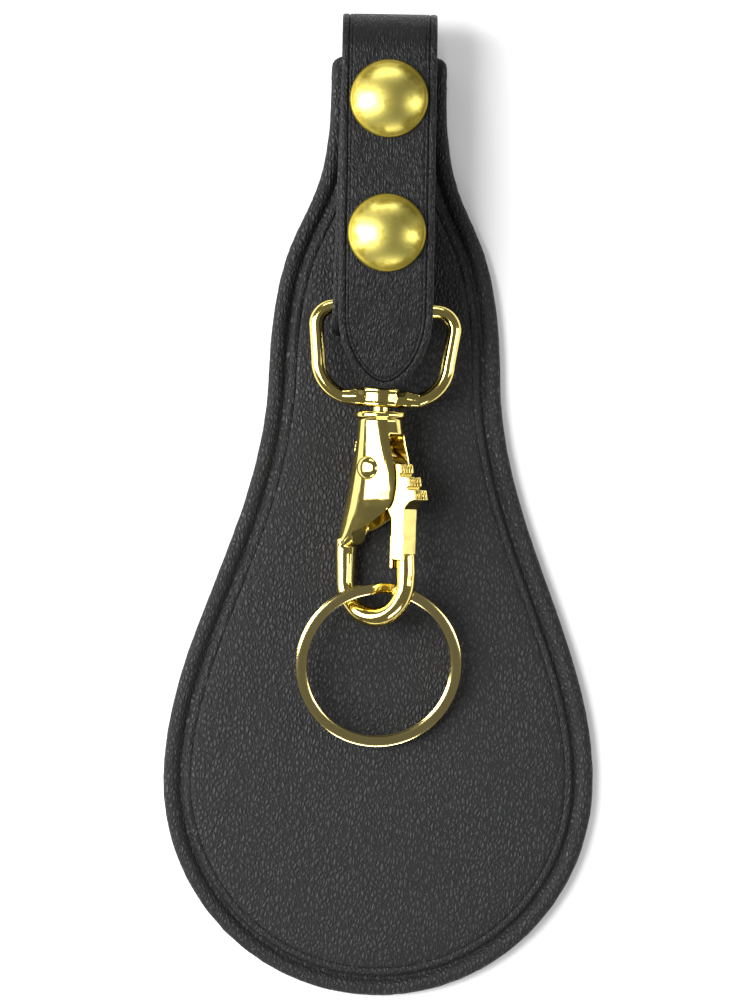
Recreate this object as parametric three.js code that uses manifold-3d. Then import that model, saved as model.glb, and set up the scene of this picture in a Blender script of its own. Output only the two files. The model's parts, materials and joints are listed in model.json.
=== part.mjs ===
// A duty-belt key holder: a pear-shaped leather paddle, a snapped belt keeper strap, a swivel
// trigger hook on a D ring, and a split ring. It lies on its back: +Z is the front, +Y points to
// the belt loop, and the origin is the middle of the bottom of its bounding box. Millimetres.
import * as THREE from "three";
import { mergeVertices } from "three/addons/utils/BufferGeometryUtils.js";
import Module from "manifold-3d";

const wasm = await Module();
wasm.setup();

// ---- Driving sizes -------------------------------------------------------------------------

const GAP = 0.3; // between pieces that touch
const OVERALL_LENGTH = 190.2; // top of the belt loop to the bottom of the paddle
const BEYOND = 200; // further than any piece reaches, for cuts that run right through
const FINE = 48; // steps round a disc that another piece slides past

// The leather paddle.
const PADDLE_THICKNESS = 3.2;
const PADDLE_EDGE_ROUND = 0.6;
const PADDLE_BELOW_LOOP_TOP = 7.5;
const LOBE_RADIUS = 41.9;
const WAIST_HALF_WIDTH = 22.5;
const WAIST_BELOW_TOP = 60.6;
const NECK_HALF_WIDTH = 11.2;
const NECK_STRAIGHT = 6.1;
const NECK_CORNER_RADIUS = 2.2;
const LOBE_BULGE = 0.34; // share of the flank that the lobe's curve leans along
const WAIST_LOWER_BULGE = 0.62; // and the share at which the waist takes over
const WAIST_UPPER_BULGE = 0.63; // the same two shares on the ogee above the waist
const NECK_BULGE = 0.45;
const WAIST_LEAN = 1.4; // how far the ogee leans in above the waist

// The keeper strap, one length of leather wrapped round the belt space.
const STRAP_WIDTH = 18.2;
const STRAP_THICKNESS = 2.2;
const BELT_SPACE = 6.4; // thickness of the space for the belt
const SNAP_SPACE = 3.0; // between the inner run and the flap, filled by the snaps
const LOOP_LENGTH = 48.8; // between the centres of the top and the bottom fold
const INNER_RUN_END_RADIUS = 5;
const FLAP_TIP_LENGTH = 14; // the pointed stretch at the end of the flap
const FLAP_TIP_SHOULDER = 0.62; // fullness of the tip's sides, as a share of its length
const FLAP_TIP_POINT = 0.42; // fullness at the point, as a share of half the width
const FLAP_TIP_DROOP = 3; // the flap bends down towards the D ring
const FLAP_BEND_BELOW_SNAP = 8;

// The snap fasteners.
const SNAP_BELOW_TOP = 17;
const SNAP_SPACING = 25.6;
const CAP_RADIUS = 7.5;
const CAP_HEIGHT = 2.8;
const CAP_RIM = 0.5;
const CAP_UNDERCUT = 0.3;
const CAP_STEPS = 7;
const SNAP_POST_RADIUS = 1.8;
const SOCKET_RADIUS = 5.6;
const SOCKET_WEB = 0.4;
const SOCKET_TAPER = 0.6;
const POST_CLINCH = 0.1; // the cap's post stops this far inside the socket's web
const STUD_FLANGE_RADIUS = 4.8;
const STUD_HEAD_RADIUS = 2.5;
const STUD_NECK = 0.3; // how far the stud narrows below and above its bulge
const STUD_LIP = 0.4;
const EYELET_BARREL_RADIUS = 1.4;
const EYELET_FLANGE_RADIUS = 4.2;
const SNAP_SHEET = 0.5; // thickness of the flanges

// The double-cap rivets that hold the strap to the paddle.
const RIVET_BELOW_PADDLE_TOP = 12;
const RIVET_SPACING = 28;
const RIVET_SHANK_RADIUS = 1.5;
const RIVET_HEAD_RADIUS = 4;
const RIVET_CAP_RADIUS = 3.4;
const RIVET_SHEET = 0.5;
const RIVET_PEEN = 0.1; // the post ends this far below the top of its cap
const RIVET_CAP_CLEARANCE = 0.15;
const RIVET_CAP_TAPER = 0.3;

// The D ring.
const D_WIRE_RADIUS = 1.45;
const D_TOP_HALF_WIDTH = 13.3; // wire centre line
const D_FOOT_HALF_WIDTH = 12.5;
const D_HEIGHT = 17.6; // bar centre line to foot centre line
const D_TOP_CORNER = 3.6;
const D_FOOT_CORNER = 7.4;
const D_TILT = THREE.MathUtils.degToRad(2.6); // it hangs a little askew in its fold
const D_OFFSET_X = 0.15;
const BOSS_HALF_WIDTH = 4;
const BOSS_HALF_DEPTH = 3.1;
const BOSS_HEIGHT = 3.8;
const SHOULDER_HALF_WIDTH = 7;
const SHOULDER_ROOT = [0.8, 0.75]; // its size inside the boss, as shares of the boss's half sizes

// The swivel.
const POST_RADIUS = 1.6;
const POST_HEAD_RADIUS = 2.2;
const POST_HEAD_HEIGHT = 0.9;
const POST_HEAD_SINK = 0.1; // below the boss's top
const POST_FOOT_HEIGHT = 0.9;
const POST_FOOT_EDGE = 0.5;
const POST_CLEARANCE = 0.4;
const COLLAR_BELOW_BOSS = 0.8;

// The trigger hook, measured from the top of its collar.
const HOOK_TURN = THREE.MathUtils.degToRad(34); // how far the hook is turned about its own length
const COLLAR_RADIUS = 5.1;
const COLLAR_HEIGHT = 1.9;
const COLLAR_EDGE = 0.4;
const COLLAR_NECK = 1.2; // how far the collar's core reaches down into the barrel
const COLLAR_NECK_INSET = 0.1;
const BARREL_RADIUS = 4.4;
const BARREL_LENGTH = 18.6;
const BARREL_RUNOUT = 7.5; // from the barrel's mouth to where only the back bar is left
// Left, right and thickness of the barrel from the collar to the mouth, in barrel radii.
const BARREL_FLARE = [
  [-1, 1, 1],
  [-1.11, 1.18, 1],
  [-1.34, 1.52, 0.98],
  [-1.55, 1.6, 0.92],
  [-1.76, 1.52, 0.82],
];
const EYE_BEND_RADIUS = 7.05; // wire centre line of the hook's bend
const EYE_BEND_X = -0.55;
const EYE_BEND_DEPTH = 32.6;
const BAR_HALF_WIDTH = 1.8;
const BAR_HALF_DEPTH = 2.1;
const BAR_ROOT_THICKENING = 0.3;
const NOSE_LENGTH = 6; // from the bend up to the uncut end of the nose
const NOSE_TAPER = 0.15;
const SLOT_HALF_WIDTH = 2.6;
const SLOT_TOP = 4.4;
const SLOT_LEFT = -4.2;
const SLOT_PAST_MOUTH = 1.4; // below it the slot's back leans out along the bar
const SLOT_RUNOUT = 10;
const SLOT_LEAN = 1.1;

// The gate lever, its pin and its spring.
const PIVOT_DEPTH = 10.9;
const PIN_RADIUS = 1.2;
const PIN_HEAD_RADIUS = 2.3;
const PIN_HEAD_HEIGHT = 0.9;
const PIN_HEAD_EDGE = 0.25;
const PIN_HEAD_DOME = 0.8;
const PIN_HEAD_STANDOFF = 0.2; // off the barrel's cheeks
const LEVER_HALF_WIDTH = 2.3;
const HUB_RADIUS = 2.9;
const GATE_INNER_X = 4.3;
const GATE_OUTER_X = 7.2;
const GATE_REACH = 17.9; // from the pin to the end of the gate
// The three thumb ridges: across from the gate's outer face, and along from the pin.
const THUMB_RIDGES = [
  [-3.6, 2.3], [-1.8, 0.7], [-0.9, 0.7], [-0.9, -1], [-1.3, -1.5], [1.1, -1.9],
  [1.1, -3.5], [0.4, -3.9], [2.5, -4.3], [2.5, -6], [1, -6.5], [0, -7.7],
];
const THROAT_DEPTH = 9.6; // below the pin, where the gate's inner face begins
const THROAT_WIDTH = 2.7; // the lever's back narrows by this much above it
const THROAT_HEIGHT = 5;
const TONGUE_THICKNESS = 1.2;
const TONGUE_HALF_WIDTH = 1.6;
const TONGUE_REACH = 2.5; // past the end of the gate, behind the nose
const TONGUE_ROOT = 1.5; // it leaves the gate this far above the gate's end
const TONGUE_BURIED = 3;
const TONGUE_CLEARANCE = 0.1;
const TONGUE_LAP = 0.5;
const SPRING_MEAN_RADIUS = 3.5;
const SPRING_WIRE_RADIUS = 0.38;
const SPRING_TURNS = 3.75;
const SPRING_HEIGHT = 2.66; // between the middles of the first and the last turn
const SPRING_LEG = 4.4;
const SPRING_LEG_SHARE = 0.1; // of the steps along the wire
const SPRING_STEPS = 72;
const SPRING_CLEARANCE = 0.2;

// The split ring.
const RING_OUTER_RADIUS = 16.1;
const RING_WIRE_WIDTH = 2.1;
const RING_WIRE_HEIGHT = 1;
const RING_WIRE_CORNER = 0.3;
const RING_STEP_HALF_ANGLE = 0.17; // the wire crosses from one turn to the other over this
const RING_STEPS = 120;
const RING_TILT_DOWN = THREE.MathUtils.degToRad(9); // its far end lies on the paddle
const RING_TILT_SIDE = THREE.MathUtils.degToRad(6); // between the back bar and the nose
const RING_BELOW_EYE = 16.35; // from the middle of the hook's bend to the ring's middle
const RING_OFFSET_X = 0.35; // to the right of the hook's axis

// ---- Heights and places that follow from them ----------------------------------------------

const strapTopY = OVERALL_LENGTH / 2;
const paddleTopY = strapTopY - PADDLE_BELOW_LOOP_TOP;
const lobeY = LOBE_RADIUS - OVERALL_LENGTH / 2;
const waistY = paddleTopY - WAIST_BELOW_TOP;
const neckY = paddleTopY - NECK_STRAIGHT;

const backZ = PADDLE_THICKNESS + GAP;
const backTopZ = backZ + STRAP_THICKNESS;
const innerZ = backTopZ + BELT_SPACE;
const innerTopZ = innerZ + STRAP_THICKNESS;
const flapZ = innerTopZ + SNAP_SPACE;
const flapTopZ = flapZ + STRAP_THICKNESS;

const topFoldRadius = (flapTopZ - backZ) / 2;
const topFoldZ = (flapTopZ + backZ) / 2;
const topFoldY = strapTopY - topFoldRadius;
const bottomFoldRadius = (innerTopZ - backZ) / 2;
const bottomFoldZ = (innerTopZ + backZ) / 2;
const barY = topFoldY - LOOP_LENGTH;
const runEndY = topFoldY - GAP; // where the straight runs stop short of the top fold
const strapHalf = STRAP_WIDTH / 2;

// The bar lies against the front of the fold, and its tilt takes up a little of the room there.
const barRoom = bottomFoldRadius - STRAP_THICKNESS - D_WIRE_RADIUS - GAP;
const barZ = bottomFoldZ + Math.sqrt(barRoom ** 2 - (strapHalf * Math.sin(D_TILT)) ** 2);

const bossFootDepth = D_HEIGHT + D_WIRE_RADIUS;
const bossTopDepth = bossFootDepth - BOSS_HEIGHT;
const hookX = D_OFFSET_X - D_HEIGHT * Math.sin(D_TILT);
const collarY = barY - bossFootDepth - COLLAR_BELOW_BOSS;

// The flap stops short of the swivel boss, so that the D ring can swing up past it.
const flapEndHeight = flapTopZ - FLAP_TIP_DROOP - barZ;
const flapEndReach = Math.sqrt((bossTopDepth - GAP) ** 2 - flapEndHeight ** 2);
const flapEndY = barY - flapEndReach;

// ---- Solids --------------------------------------------------------------------------------

const SLIVER = 0.01; // cubic millimetres

const join = (solids) => solids.reduce((sum, next) => sum.add(next));

// A closed geometry as a solid that can be joined and cut.
function toSolid(geometry) {
  const bare = geometry.clone();
  bare.deleteAttribute("normal");
  bare.deleteAttribute("uv");
  const merged = mergeVertices(bare, 1e-4);
  const vertProperties = new Float32Array(merged.attributes.position.array);
  const triVerts = new Uint32Array(merged.index.array);
  return new wasm.Manifold(new wasm.Mesh({ numProp: 3, vertProperties, triVerts }));
}

// Where two hulls share a section, rounding leaves slivers of no volume, which are dropped.
function toGeometry(solid) {
  const mesh = join(solid.decompose().filter((body) => body.volume() > SLIVER)).getMesh();
  const geometry = new THREE.BufferGeometry();
  geometry.setAttribute("position", new THREE.BufferAttribute(mesh.vertProperties, mesh.numProp));
  geometry.setIndex(new THREE.BufferAttribute(mesh.triVerts, 1));
  const flat = geometry.toNonIndexed();
  flat.computeVertexNormals();
  return flat;
}

// A shape drawn in x and y, as a slab from z = low to z = high.
function slab(shape, low, high, curveSegments = 12) {
  const geometry = new THREE.ExtrudeGeometry(shape, {
    depth: high - low,
    bevelEnabled: false,
    curveSegments,
  });
  return geometry.translate(0, 0, low);
}

// A side view drawn in y and z, as a band of the given half width across x.
function band(shape, halfWidth, curveSegments = 16) {
  const turned = new THREE.Matrix4().makeBasis(
    new THREE.Vector3(0, 1, 0),
    new THREE.Vector3(0, 0, 1),
    new THREE.Vector3(1, 0, 0),
  );
  return slab(shape, -halfWidth, halfWidth, curveSegments).applyMatrix4(turned);
}

// A turned piece round +Z, from [radius, height] corners that start and end on the axis.
function turned(corners, segments = 32) {
  const profile = corners.map(([radius, height]) => new THREE.Vector2(radius, height));
  return new THREE.LatheGeometry(profile, segments).rotateX(Math.PI / 2);
}

function rod(radius, low, high, segments = 24) {
  return turned([[0, low], [radius, low], [radius, high], [0, high]], segments);
}

function polygon(points) {
  return new THREE.Shape(points.map(([x, y]) => new THREE.Vector2(x, y)));
}

function disc(x, y, radius) {
  return new THREE.Shape().absarc(x, y, radius, 0, 2 * Math.PI);
}

// An elliptical section across a path in the x-y plane that heads in the given direction.
function section(x, y, heading, halfWidth, halfDepth, sides = 16) {
  const points = [];
  for (let i = 0; i < sides; i += 1) {
    const angle = ((i + 0.5) / sides) * 2 * Math.PI;
    const across = halfWidth * Math.cos(angle);
    points.push(
      new THREE.Vector3(
        x - across * Math.sin(heading),
        y + across * Math.cos(heading),
        halfDepth * Math.sin(angle),
      ),
    );
  }
  return points;
}

// A body that runs through a row of sections with flat ends, or round a closed row with none.
function loft(sections, closed = false) {
  const sides = sections[0].length;
  const rows = sections.length;
  const points = sections.flat();
  const index = [];
  for (let row = 0; row < (closed ? rows : rows - 1); row += 1) {
    for (let i = 0; i < sides; i += 1) {
      const next = (i + 1) % sides;
      const here = row * sides;
      const there = ((row + 1) % rows) * sides;
      index.push(here + i, there + i, there + next, here + i, there + next, here + next);
    }
  }
  for (let i = 1; i < sides - 1 && !closed; i += 1) {
    const last = (rows - 1) * sides;
    index.push(0, i, i + 1, last, last + i + 1, last + i);
  }
  const geometry = new THREE.BufferGeometry().setFromPoints(points).setIndex(index);
  const solid = toSolid(geometry);
  if (solid.volume() > 0) return solid;
  return toSolid(geometry.setIndex(index.reverse()));
}

// Sections round an arc of the x-y plane, from one angle to another.
function arcSections(x, y, radius, from, to, steps, halfWidth, halfDepth) {
  const sections = [];
  const sense = Math.sign(to - from);
  for (let i = 0; i <= steps; i += 1) {
    const angle = from + ((to - from) * i) / steps;
    const heading = angle + (sense * Math.PI) / 2;
    const middle = [x + radius * Math.cos(angle), y + radius * Math.sin(angle)];
    sections.push(section(...middle, heading, halfWidth, halfDepth));
  }
  return sections;
}

// ---- Finishes ------------------------------------------------------------------------------

const finish = (color, roughness, metalness) =>
  new THREE.MeshStandardMaterial({ color, roughness, metalness });
const blackLeather = () => finish(0x17181a, 0.6, 0);
const polishedBrass = () => finish(0xd9b64a, 0.18, 1);
const satinBrass = () => finish(0xc9b845, 0.42, 1);
const springSteel = () => finish(0xc9b06a, 0.3, 1);

const keyHolder = new THREE.Group();

function addPiece(parent, name, shape, material) {
  const geometry = shape.isBufferGeometry ? shape : toGeometry(shape);
  const mesh = new THREE.Mesh(geometry, material);
  mesh.name = name;
  parent.add(mesh);
}

// ---- The paddle ----------------------------------------------------------------------------

// The pear outline, inset all round: a straight neck, an ogee to the waist, a flank to the lobe.
function paddleOutline(inset) {
  const neck = NECK_HALF_WIDTH - inset;
  const waist = WAIST_HALF_WIDTH - inset;
  const lobe = LOBE_RADIUS - inset;
  const top = paddleTopY - inset;
  const corner = NECK_CORNER_RADIUS - inset;
  const ogee = neckY - waistY;
  const flank = waistY - lobeY;
  const lobeLean = lobeY + LOBE_BULGE * flank;
  const waistFoot = lobeY + WAIST_LOWER_BULGE * flank;
  const waistHead = waistY + WAIST_UPPER_BULGE * ogee;
  const neckFoot = waistY + NECK_BULGE * ogee;
  const shape = new THREE.Shape();
  shape.moveTo(-lobe, lobeY);
  shape.absarc(0, lobeY, lobe, Math.PI, 2 * Math.PI);
  shape.bezierCurveTo(lobe, lobeLean, waist, waistFoot, waist, waistY);
  shape.bezierCurveTo(waist - WAIST_LEAN, waistHead, neck, neckFoot, neck, neckY);
  shape.lineTo(neck, top - corner);
  shape.absarc(neck - corner, top - corner, corner, 0, Math.PI / 2);
  shape.lineTo(corner - neck, top);
  shape.absarc(corner - neck, top - corner, corner, Math.PI / 2, Math.PI);
  shape.lineTo(-neck, neckY);
  shape.bezierCurveTo(-neck, neckFoot, WAIST_LEAN - waist, waistHead, -waist, waistY);
  shape.bezierCurveTo(-waist, waistFoot, -lobe, lobeLean, -lobe, lobeY);
  return shape;
}

const rivetYs = [0, 1].map((i) => paddleTopY - RIVET_BELOW_PADDLE_TOP - i * RIVET_SPACING);
const snapYs = [0, 1].map((i) => strapTopY - SNAP_BELOW_TOP - i * SNAP_SPACING);

function makePaddle() {
  const body = new THREE.ExtrudeGeometry(paddleOutline(PADDLE_EDGE_ROUND), {
    depth: PADDLE_THICKNESS - 2 * PADDLE_EDGE_ROUND,
    bevelThickness: PADDLE_EDGE_ROUND,
    bevelSize: PADDLE_EDGE_ROUND,
    bevelSegments: 1,
    curveSegments: 16,
  }).translate(0, 0, PADDLE_EDGE_ROUND);
  let paddle = toSolid(body);
  for (const y of rivetYs) {
    const shankHole = rod(RIVET_SHANK_RADIUS + GAP, -BEYOND, BEYOND);
    const headSeat = rod(RIVET_HEAD_RADIUS + GAP, -BEYOND, RIVET_SHEET + GAP);
    paddle = paddle.subtract(toSolid(shankHole.translate(0, y, 0)));
    paddle = paddle.subtract(toSolid(headSeat.translate(0, y, 0)));
  }
  addPiece(keyHolder, "paddle", paddle, blackLeather());
}

// ---- The keeper strap ----------------------------------------------------------------------

// Back run, bottom fold round the D bar, and inner run, seen from the side.
function strapSideView() {
  const inner = bottomFoldRadius - STRAP_THICKNESS;
  const shape = new THREE.Shape();
  shape.moveTo(runEndY, backTopZ);
  shape.lineTo(barY, backTopZ);
  shape.absarc(barY, bottomFoldZ, inner, -Math.PI / 2, Math.PI / 2, true);
  shape.lineTo(runEndY, innerZ);
  shape.lineTo(runEndY, innerTopZ);
  shape.lineTo(barY, innerTopZ);
  shape.absarc(barY, bottomFoldZ, bottomFoldRadius, Math.PI / 2, (3 * Math.PI) / 2, false);
  shape.lineTo(runEndY, backZ);
  return shape;
}

// The rounded free end of the inner run, seen from the front.
function innerRunOutline() {
  const radius = INNER_RUN_END_RADIUS;
  const shape = new THREE.Shape();
  shape.moveTo(-strapHalf, barY - 2 * bottomFoldRadius);
  shape.lineTo(strapHalf, barY - 2 * bottomFoldRadius);
  shape.lineTo(strapHalf, runEndY - radius);
  shape.absarc(strapHalf - radius, runEndY - radius, radius, 0, Math.PI / 2);
  shape.absarc(radius - strapHalf, runEndY - radius, radius, Math.PI / 2, Math.PI);
  return shape;
}

function makeStrap() {
  let strap = toSolid(band(strapSideView(), strapHalf));
  const everywhere = [[-BEYOND, -BEYOND], [BEYOND, -BEYOND], [BEYOND, BEYOND], [-BEYOND, BEYOND]];
  const backPart = slab(polygon(everywhere), 0, backTopZ + GAP);
  const keep = toSolid(backPart).add(toSolid(slab(innerRunOutline(), backTopZ, flapTopZ)));
  strap = strap.intersect(keep);
  for (const y of rivetYs) {
    const hole = rod(RIVET_SHANK_RADIUS + GAP, 0, backTopZ + GAP);
    strap = strap.subtract(toSolid(hole.translate(0, y, 0)));
  }
  for (const y of snapYs) {
    const hole = rod(EYELET_BARREL_RADIUS + GAP, innerZ - GAP, innerTopZ + GAP);
    strap = strap.subtract(toSolid(hole.translate(0, y, 0)));
  }
  addPiece(keyHolder, "keeper_strap", strap, blackLeather());
}

function makeTopFold() {
  const shape = new THREE.Shape();
  shape.absarc(topFoldY, topFoldZ, topFoldRadius, -Math.PI / 2, Math.PI / 2, false);
  shape.absarc(topFoldY, topFoldZ, topFoldRadius - STRAP_THICKNESS, Math.PI / 2, -Math.PI / 2, true);
  addPiece(keyHolder, "strap_top_fold", toSolid(band(shape, strapHalf)), blackLeather());
}

// The flap from the side: flat over the snaps, then bent down to its tip.
function flapSideView() {
  const bendY = snapYs[1] - FLAP_BEND_BELOW_SNAP;
  return polygon([
    [runEndY, flapZ],
    [runEndY, flapTopZ],
    [bendY, flapTopZ],
    [flapEndY, flapTopZ - FLAP_TIP_DROOP],
    [flapEndY, flapZ - FLAP_TIP_DROOP],
    [bendY, flapZ],
  ]);
}

function flapOutline() {
  const tipY = flapEndY + FLAP_TIP_LENGTH;
  const sideY = tipY - FLAP_TIP_SHOULDER * FLAP_TIP_LENGTH;
  const pointX = FLAP_TIP_POINT * strapHalf;
  const shape = new THREE.Shape();
  shape.moveTo(-strapHalf, topFoldY);
  shape.lineTo(-strapHalf, tipY);
  shape.bezierCurveTo(-strapHalf, sideY, -pointX, flapEndY, 0, flapEndY);
  shape.bezierCurveTo(pointX, flapEndY, strapHalf, sideY, strapHalf, tipY);
  shape.lineTo(strapHalf, topFoldY);
  return shape;
}

function makeFlap() {
  let flap = toSolid(band(flapSideView(), BEYOND));
  flap = flap.intersect(toSolid(slab(flapOutline(), 0, BEYOND)));
  for (const y of snapYs) {
    const hole = rod(SNAP_POST_RADIUS + GAP, 0, BEYOND);
    flap = flap.subtract(toSolid(hole.translate(0, y, 0)));
  }
  addPiece(keyHolder, "strap_flap", flap, blackLeather());
}

// ---- The snaps -----------------------------------------------------------------------------

// Four pieces: a domed cap whose post is clinched in a socket, and a stud held by an eyelet.
function makeSnap(place, y) {
  const studZ = innerTopZ + GAP;
  const socketZ = studZ + SNAP_SHEET + GAP;
  const socketTopZ = flapZ - GAP;
  const webZ = socketTopZ - SOCKET_WEB;
  const capZ = flapTopZ + GAP;
  const postEndZ = webZ + POST_CLINCH;
  const rise = CAP_HEIGHT - CAP_RIM;
  const sphere = (CAP_RADIUS ** 2 + rise ** 2) / (2 * rise);
  const dome = [];
  for (let i = 0; i <= CAP_STEPS; i += 1) {
    const radius = CAP_RADIUS * (1 - i / CAP_STEPS);
    dome.push([radius, capZ + CAP_HEIGHT - sphere + Math.sqrt(sphere ** 2 - radius ** 2)]);
  }
  const cap = [[0, postEndZ], [SNAP_POST_RADIUS, postEndZ], [SNAP_POST_RADIUS, capZ],
    [CAP_RADIUS - CAP_UNDERCUT, capZ], ...dome];
  const socketBore = STUD_HEAD_RADIUS + GAP;
  const webBore = SNAP_POST_RADIUS + GAP;
  const socket = [[socketBore, socketZ], [SOCKET_RADIUS, socketZ],
    [SOCKET_RADIUS - SOCKET_TAPER, socketTopZ], [webBore, socketTopZ], [webBore, webZ],
    [socketBore, webZ], [socketBore, socketZ]];
  const studBore = EYELET_BARREL_RADIUS + GAP;
  const headZ = webZ - GAP;
  const neck = STUD_HEAD_RADIUS - STUD_NECK;
  const stud = [[studBore, studZ], [STUD_FLANGE_RADIUS, studZ],
    [STUD_FLANGE_RADIUS, studZ + SNAP_SHEET], [neck, studZ + SNAP_SHEET],
    [STUD_HEAD_RADIUS, headZ - STUD_LIP], [neck, headZ], [studBore, headZ], [studBore, studZ]];
  const eyeletZ = innerZ - GAP;
  const eyelet = [[0, eyeletZ - SNAP_SHEET], [EYELET_FLANGE_RADIUS, eyeletZ - SNAP_SHEET],
    [EYELET_FLANGE_RADIUS, eyeletZ], [EYELET_BARREL_RADIUS, eyeletZ],
    [EYELET_BARREL_RADIUS, headZ - GAP], [0, headZ - GAP]];
  const pieces = { cap, socket, stud, eyelet };
  for (const [kind, profile] of Object.entries(pieces)) {
    const geometry = turned(profile, kind === "cap" ? 32 : 24).translate(0, y, 0);
    addPiece(keyHolder, `snap_${kind}_${place}`, toSolid(geometry), satinBrass());
  }
}

// ---- The rivets ----------------------------------------------------------------------------

// Each is a flat-headed post, flush in the paddle's back, and a cap pressed over its end.
function makeRivet(place, y) {
  const capZ = backTopZ + GAP;
  const capTopZ = capZ + RIVET_SHEET;
  const shankEnd = capTopZ - RIVET_PEEN;
  const capBore = RIVET_SHANK_RADIUS + RIVET_CAP_CLEARANCE;
  const post = [[0, 0], [RIVET_HEAD_RADIUS, 0], [RIVET_HEAD_RADIUS, RIVET_SHEET],
    [RIVET_SHANK_RADIUS, RIVET_SHEET], [RIVET_SHANK_RADIUS, shankEnd], [0, shankEnd]];
  const cap = [[capBore, capZ], [RIVET_CAP_RADIUS, capZ],
    [RIVET_CAP_RADIUS - RIVET_CAP_TAPER, capTopZ], [capBore, capTopZ], [capBore, capZ]];
  const postSolid = toSolid(turned(post, 24).translate(0, y, 0));
  const capSolid = toSolid(turned(cap, 24).translate(0, y, 0));
  addPiece(keyHolder, `rivet_post_${place}`, postSolid, satinBrass());
  addPiece(keyHolder, `rivet_cap_${place}`, capSolid, satinBrass());
}

// ---- The D ring, in its own frame: the bar along x, the ring hanging towards -y -------------

const dFrame = new THREE.Group();
dFrame.position.set(D_OFFSET_X, barY, barZ);
dFrame.rotation.z = -D_TILT;
keyHolder.add(dFrame);

function makeDRing() {
  const top = D_TOP_HALF_WIDTH - D_TOP_CORNER;
  const foot = D_FOOT_HALF_WIDTH - D_FOOT_CORNER;
  const wire = [D_WIRE_RADIUS, D_WIRE_RADIUS];
  const right = [
    ...arcSections(top, -D_TOP_CORNER, D_TOP_CORNER, Math.PI / 2, 0, 4, ...wire),
    ...arcSections(foot, D_FOOT_CORNER - D_HEIGHT, D_FOOT_CORNER, 0, -Math.PI / 2, 6, ...wire),
  ];
  const left = [
    ...arcSections(-foot, D_FOOT_CORNER - D_HEIGHT, D_FOOT_CORNER, -Math.PI / 2, -Math.PI, 6, ...wire),
    ...arcSections(-top, -D_TOP_CORNER, D_TOP_CORNER, Math.PI, Math.PI / 2, 4, ...wire),
  ];
  const wireLoop = loft([...right, ...left], true);

  const bossY = -(bossTopDepth + bossFootDepth) / 2;
  const boss = new THREE.CylinderGeometry(1, 1, BOSS_HEIGHT, 32)
    .scale(BOSS_HALF_WIDTH, 1, BOSS_HALF_DEPTH)
    .translate(0, bossY, 0);
  const wide = [-1, 1].map((side) =>
    section(side * SHOULDER_HALF_WIDTH, -D_HEIGHT, 0, D_WIRE_RADIUS, D_WIRE_RADIUS));
  const rootX = BOSS_HALF_WIDTH * SHOULDER_ROOT[0];
  const rootDepth = BOSS_HALF_DEPTH * SHOULDER_ROOT[1];
  const middle = [-1, 1].map((side) =>
    section(side * rootX, bossY, 0, BOSS_HEIGHT / 2, rootDepth));
  const shoulders = loft([wide[0], middle[0], middle[1], wide[1]]);

  const hole = new THREE.CylinderGeometry(
    POST_RADIUS + POST_CLEARANCE, POST_RADIUS + POST_CLEARANCE, 2 * BOSS_HEIGHT, 24);
  const seatDepth = POST_HEAD_HEIGHT + GAP + POST_HEAD_SINK;
  const seat = new THREE.CylinderGeometry(
    POST_HEAD_RADIUS + POST_CLEARANCE, POST_HEAD_RADIUS + POST_CLEARANCE, 2 * seatDepth, 24);
  const ring = join([wireLoop, toSolid(boss), shoulders])
    .subtract(toSolid(hole.translate(0, bossY, 0)))
    .subtract(toSolid(seat.translate(0, -bossTopDepth, 0)));
  addPiece(dFrame, "d_ring", ring, polishedBrass());
}

// ---- The hook, in its own frame: the collar's top at the origin, the eye towards -y ----------

const hookFrame = new THREE.Group();
hookFrame.position.set(hookX, collarY, barZ);
hookFrame.rotation.y = -HOOK_TURN;
keyHolder.add(hookFrame);

function makeSwivelPost() {
  const headTop = barY - bossTopDepth - collarY - POST_HEAD_SINK;
  const shankEnd = -SLOT_TOP - GAP;
  const footEnd = shankEnd - POST_FOOT_HEIGHT;
  const post = turned([
    [0, footEnd], [POST_HEAD_RADIUS - POST_FOOT_EDGE, footEnd],
    [POST_HEAD_RADIUS, footEnd + POST_FOOT_EDGE],
    [POST_HEAD_RADIUS, shankEnd], [POST_RADIUS, shankEnd], [POST_RADIUS, headTop - POST_HEAD_HEIGHT],
    [POST_HEAD_RADIUS, headTop - POST_HEAD_HEIGHT], [POST_HEAD_RADIUS, headTop], [0, headTop],
  ]).rotateX(-Math.PI / 2);
  addPiece(hookFrame, "swivel_post", toSolid(post), polishedBrass());
}

// The barrel widens from the collar to its mouth, where it runs out into the back bar.
function barrelSections() {
  const depths = [
    COLLAR_HEIGHT,
    (COLLAR_HEIGHT + PIVOT_DEPTH) / 2,
    PIVOT_DEPTH,
    (PIVOT_DEPTH + BARREL_LENGTH) / 2,
    BARREL_LENGTH,
  ];
  return BARREL_FLARE.map(([left, right, thick], i) => {
    const half = ((right - left) / 2) * BARREL_RADIUS;
    const middle = ((right + left) / 2) * BARREL_RADIUS;
    return section(middle, -depths[i], -Math.PI / 2, half, thick * BARREL_RADIUS);
  });
}

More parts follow.
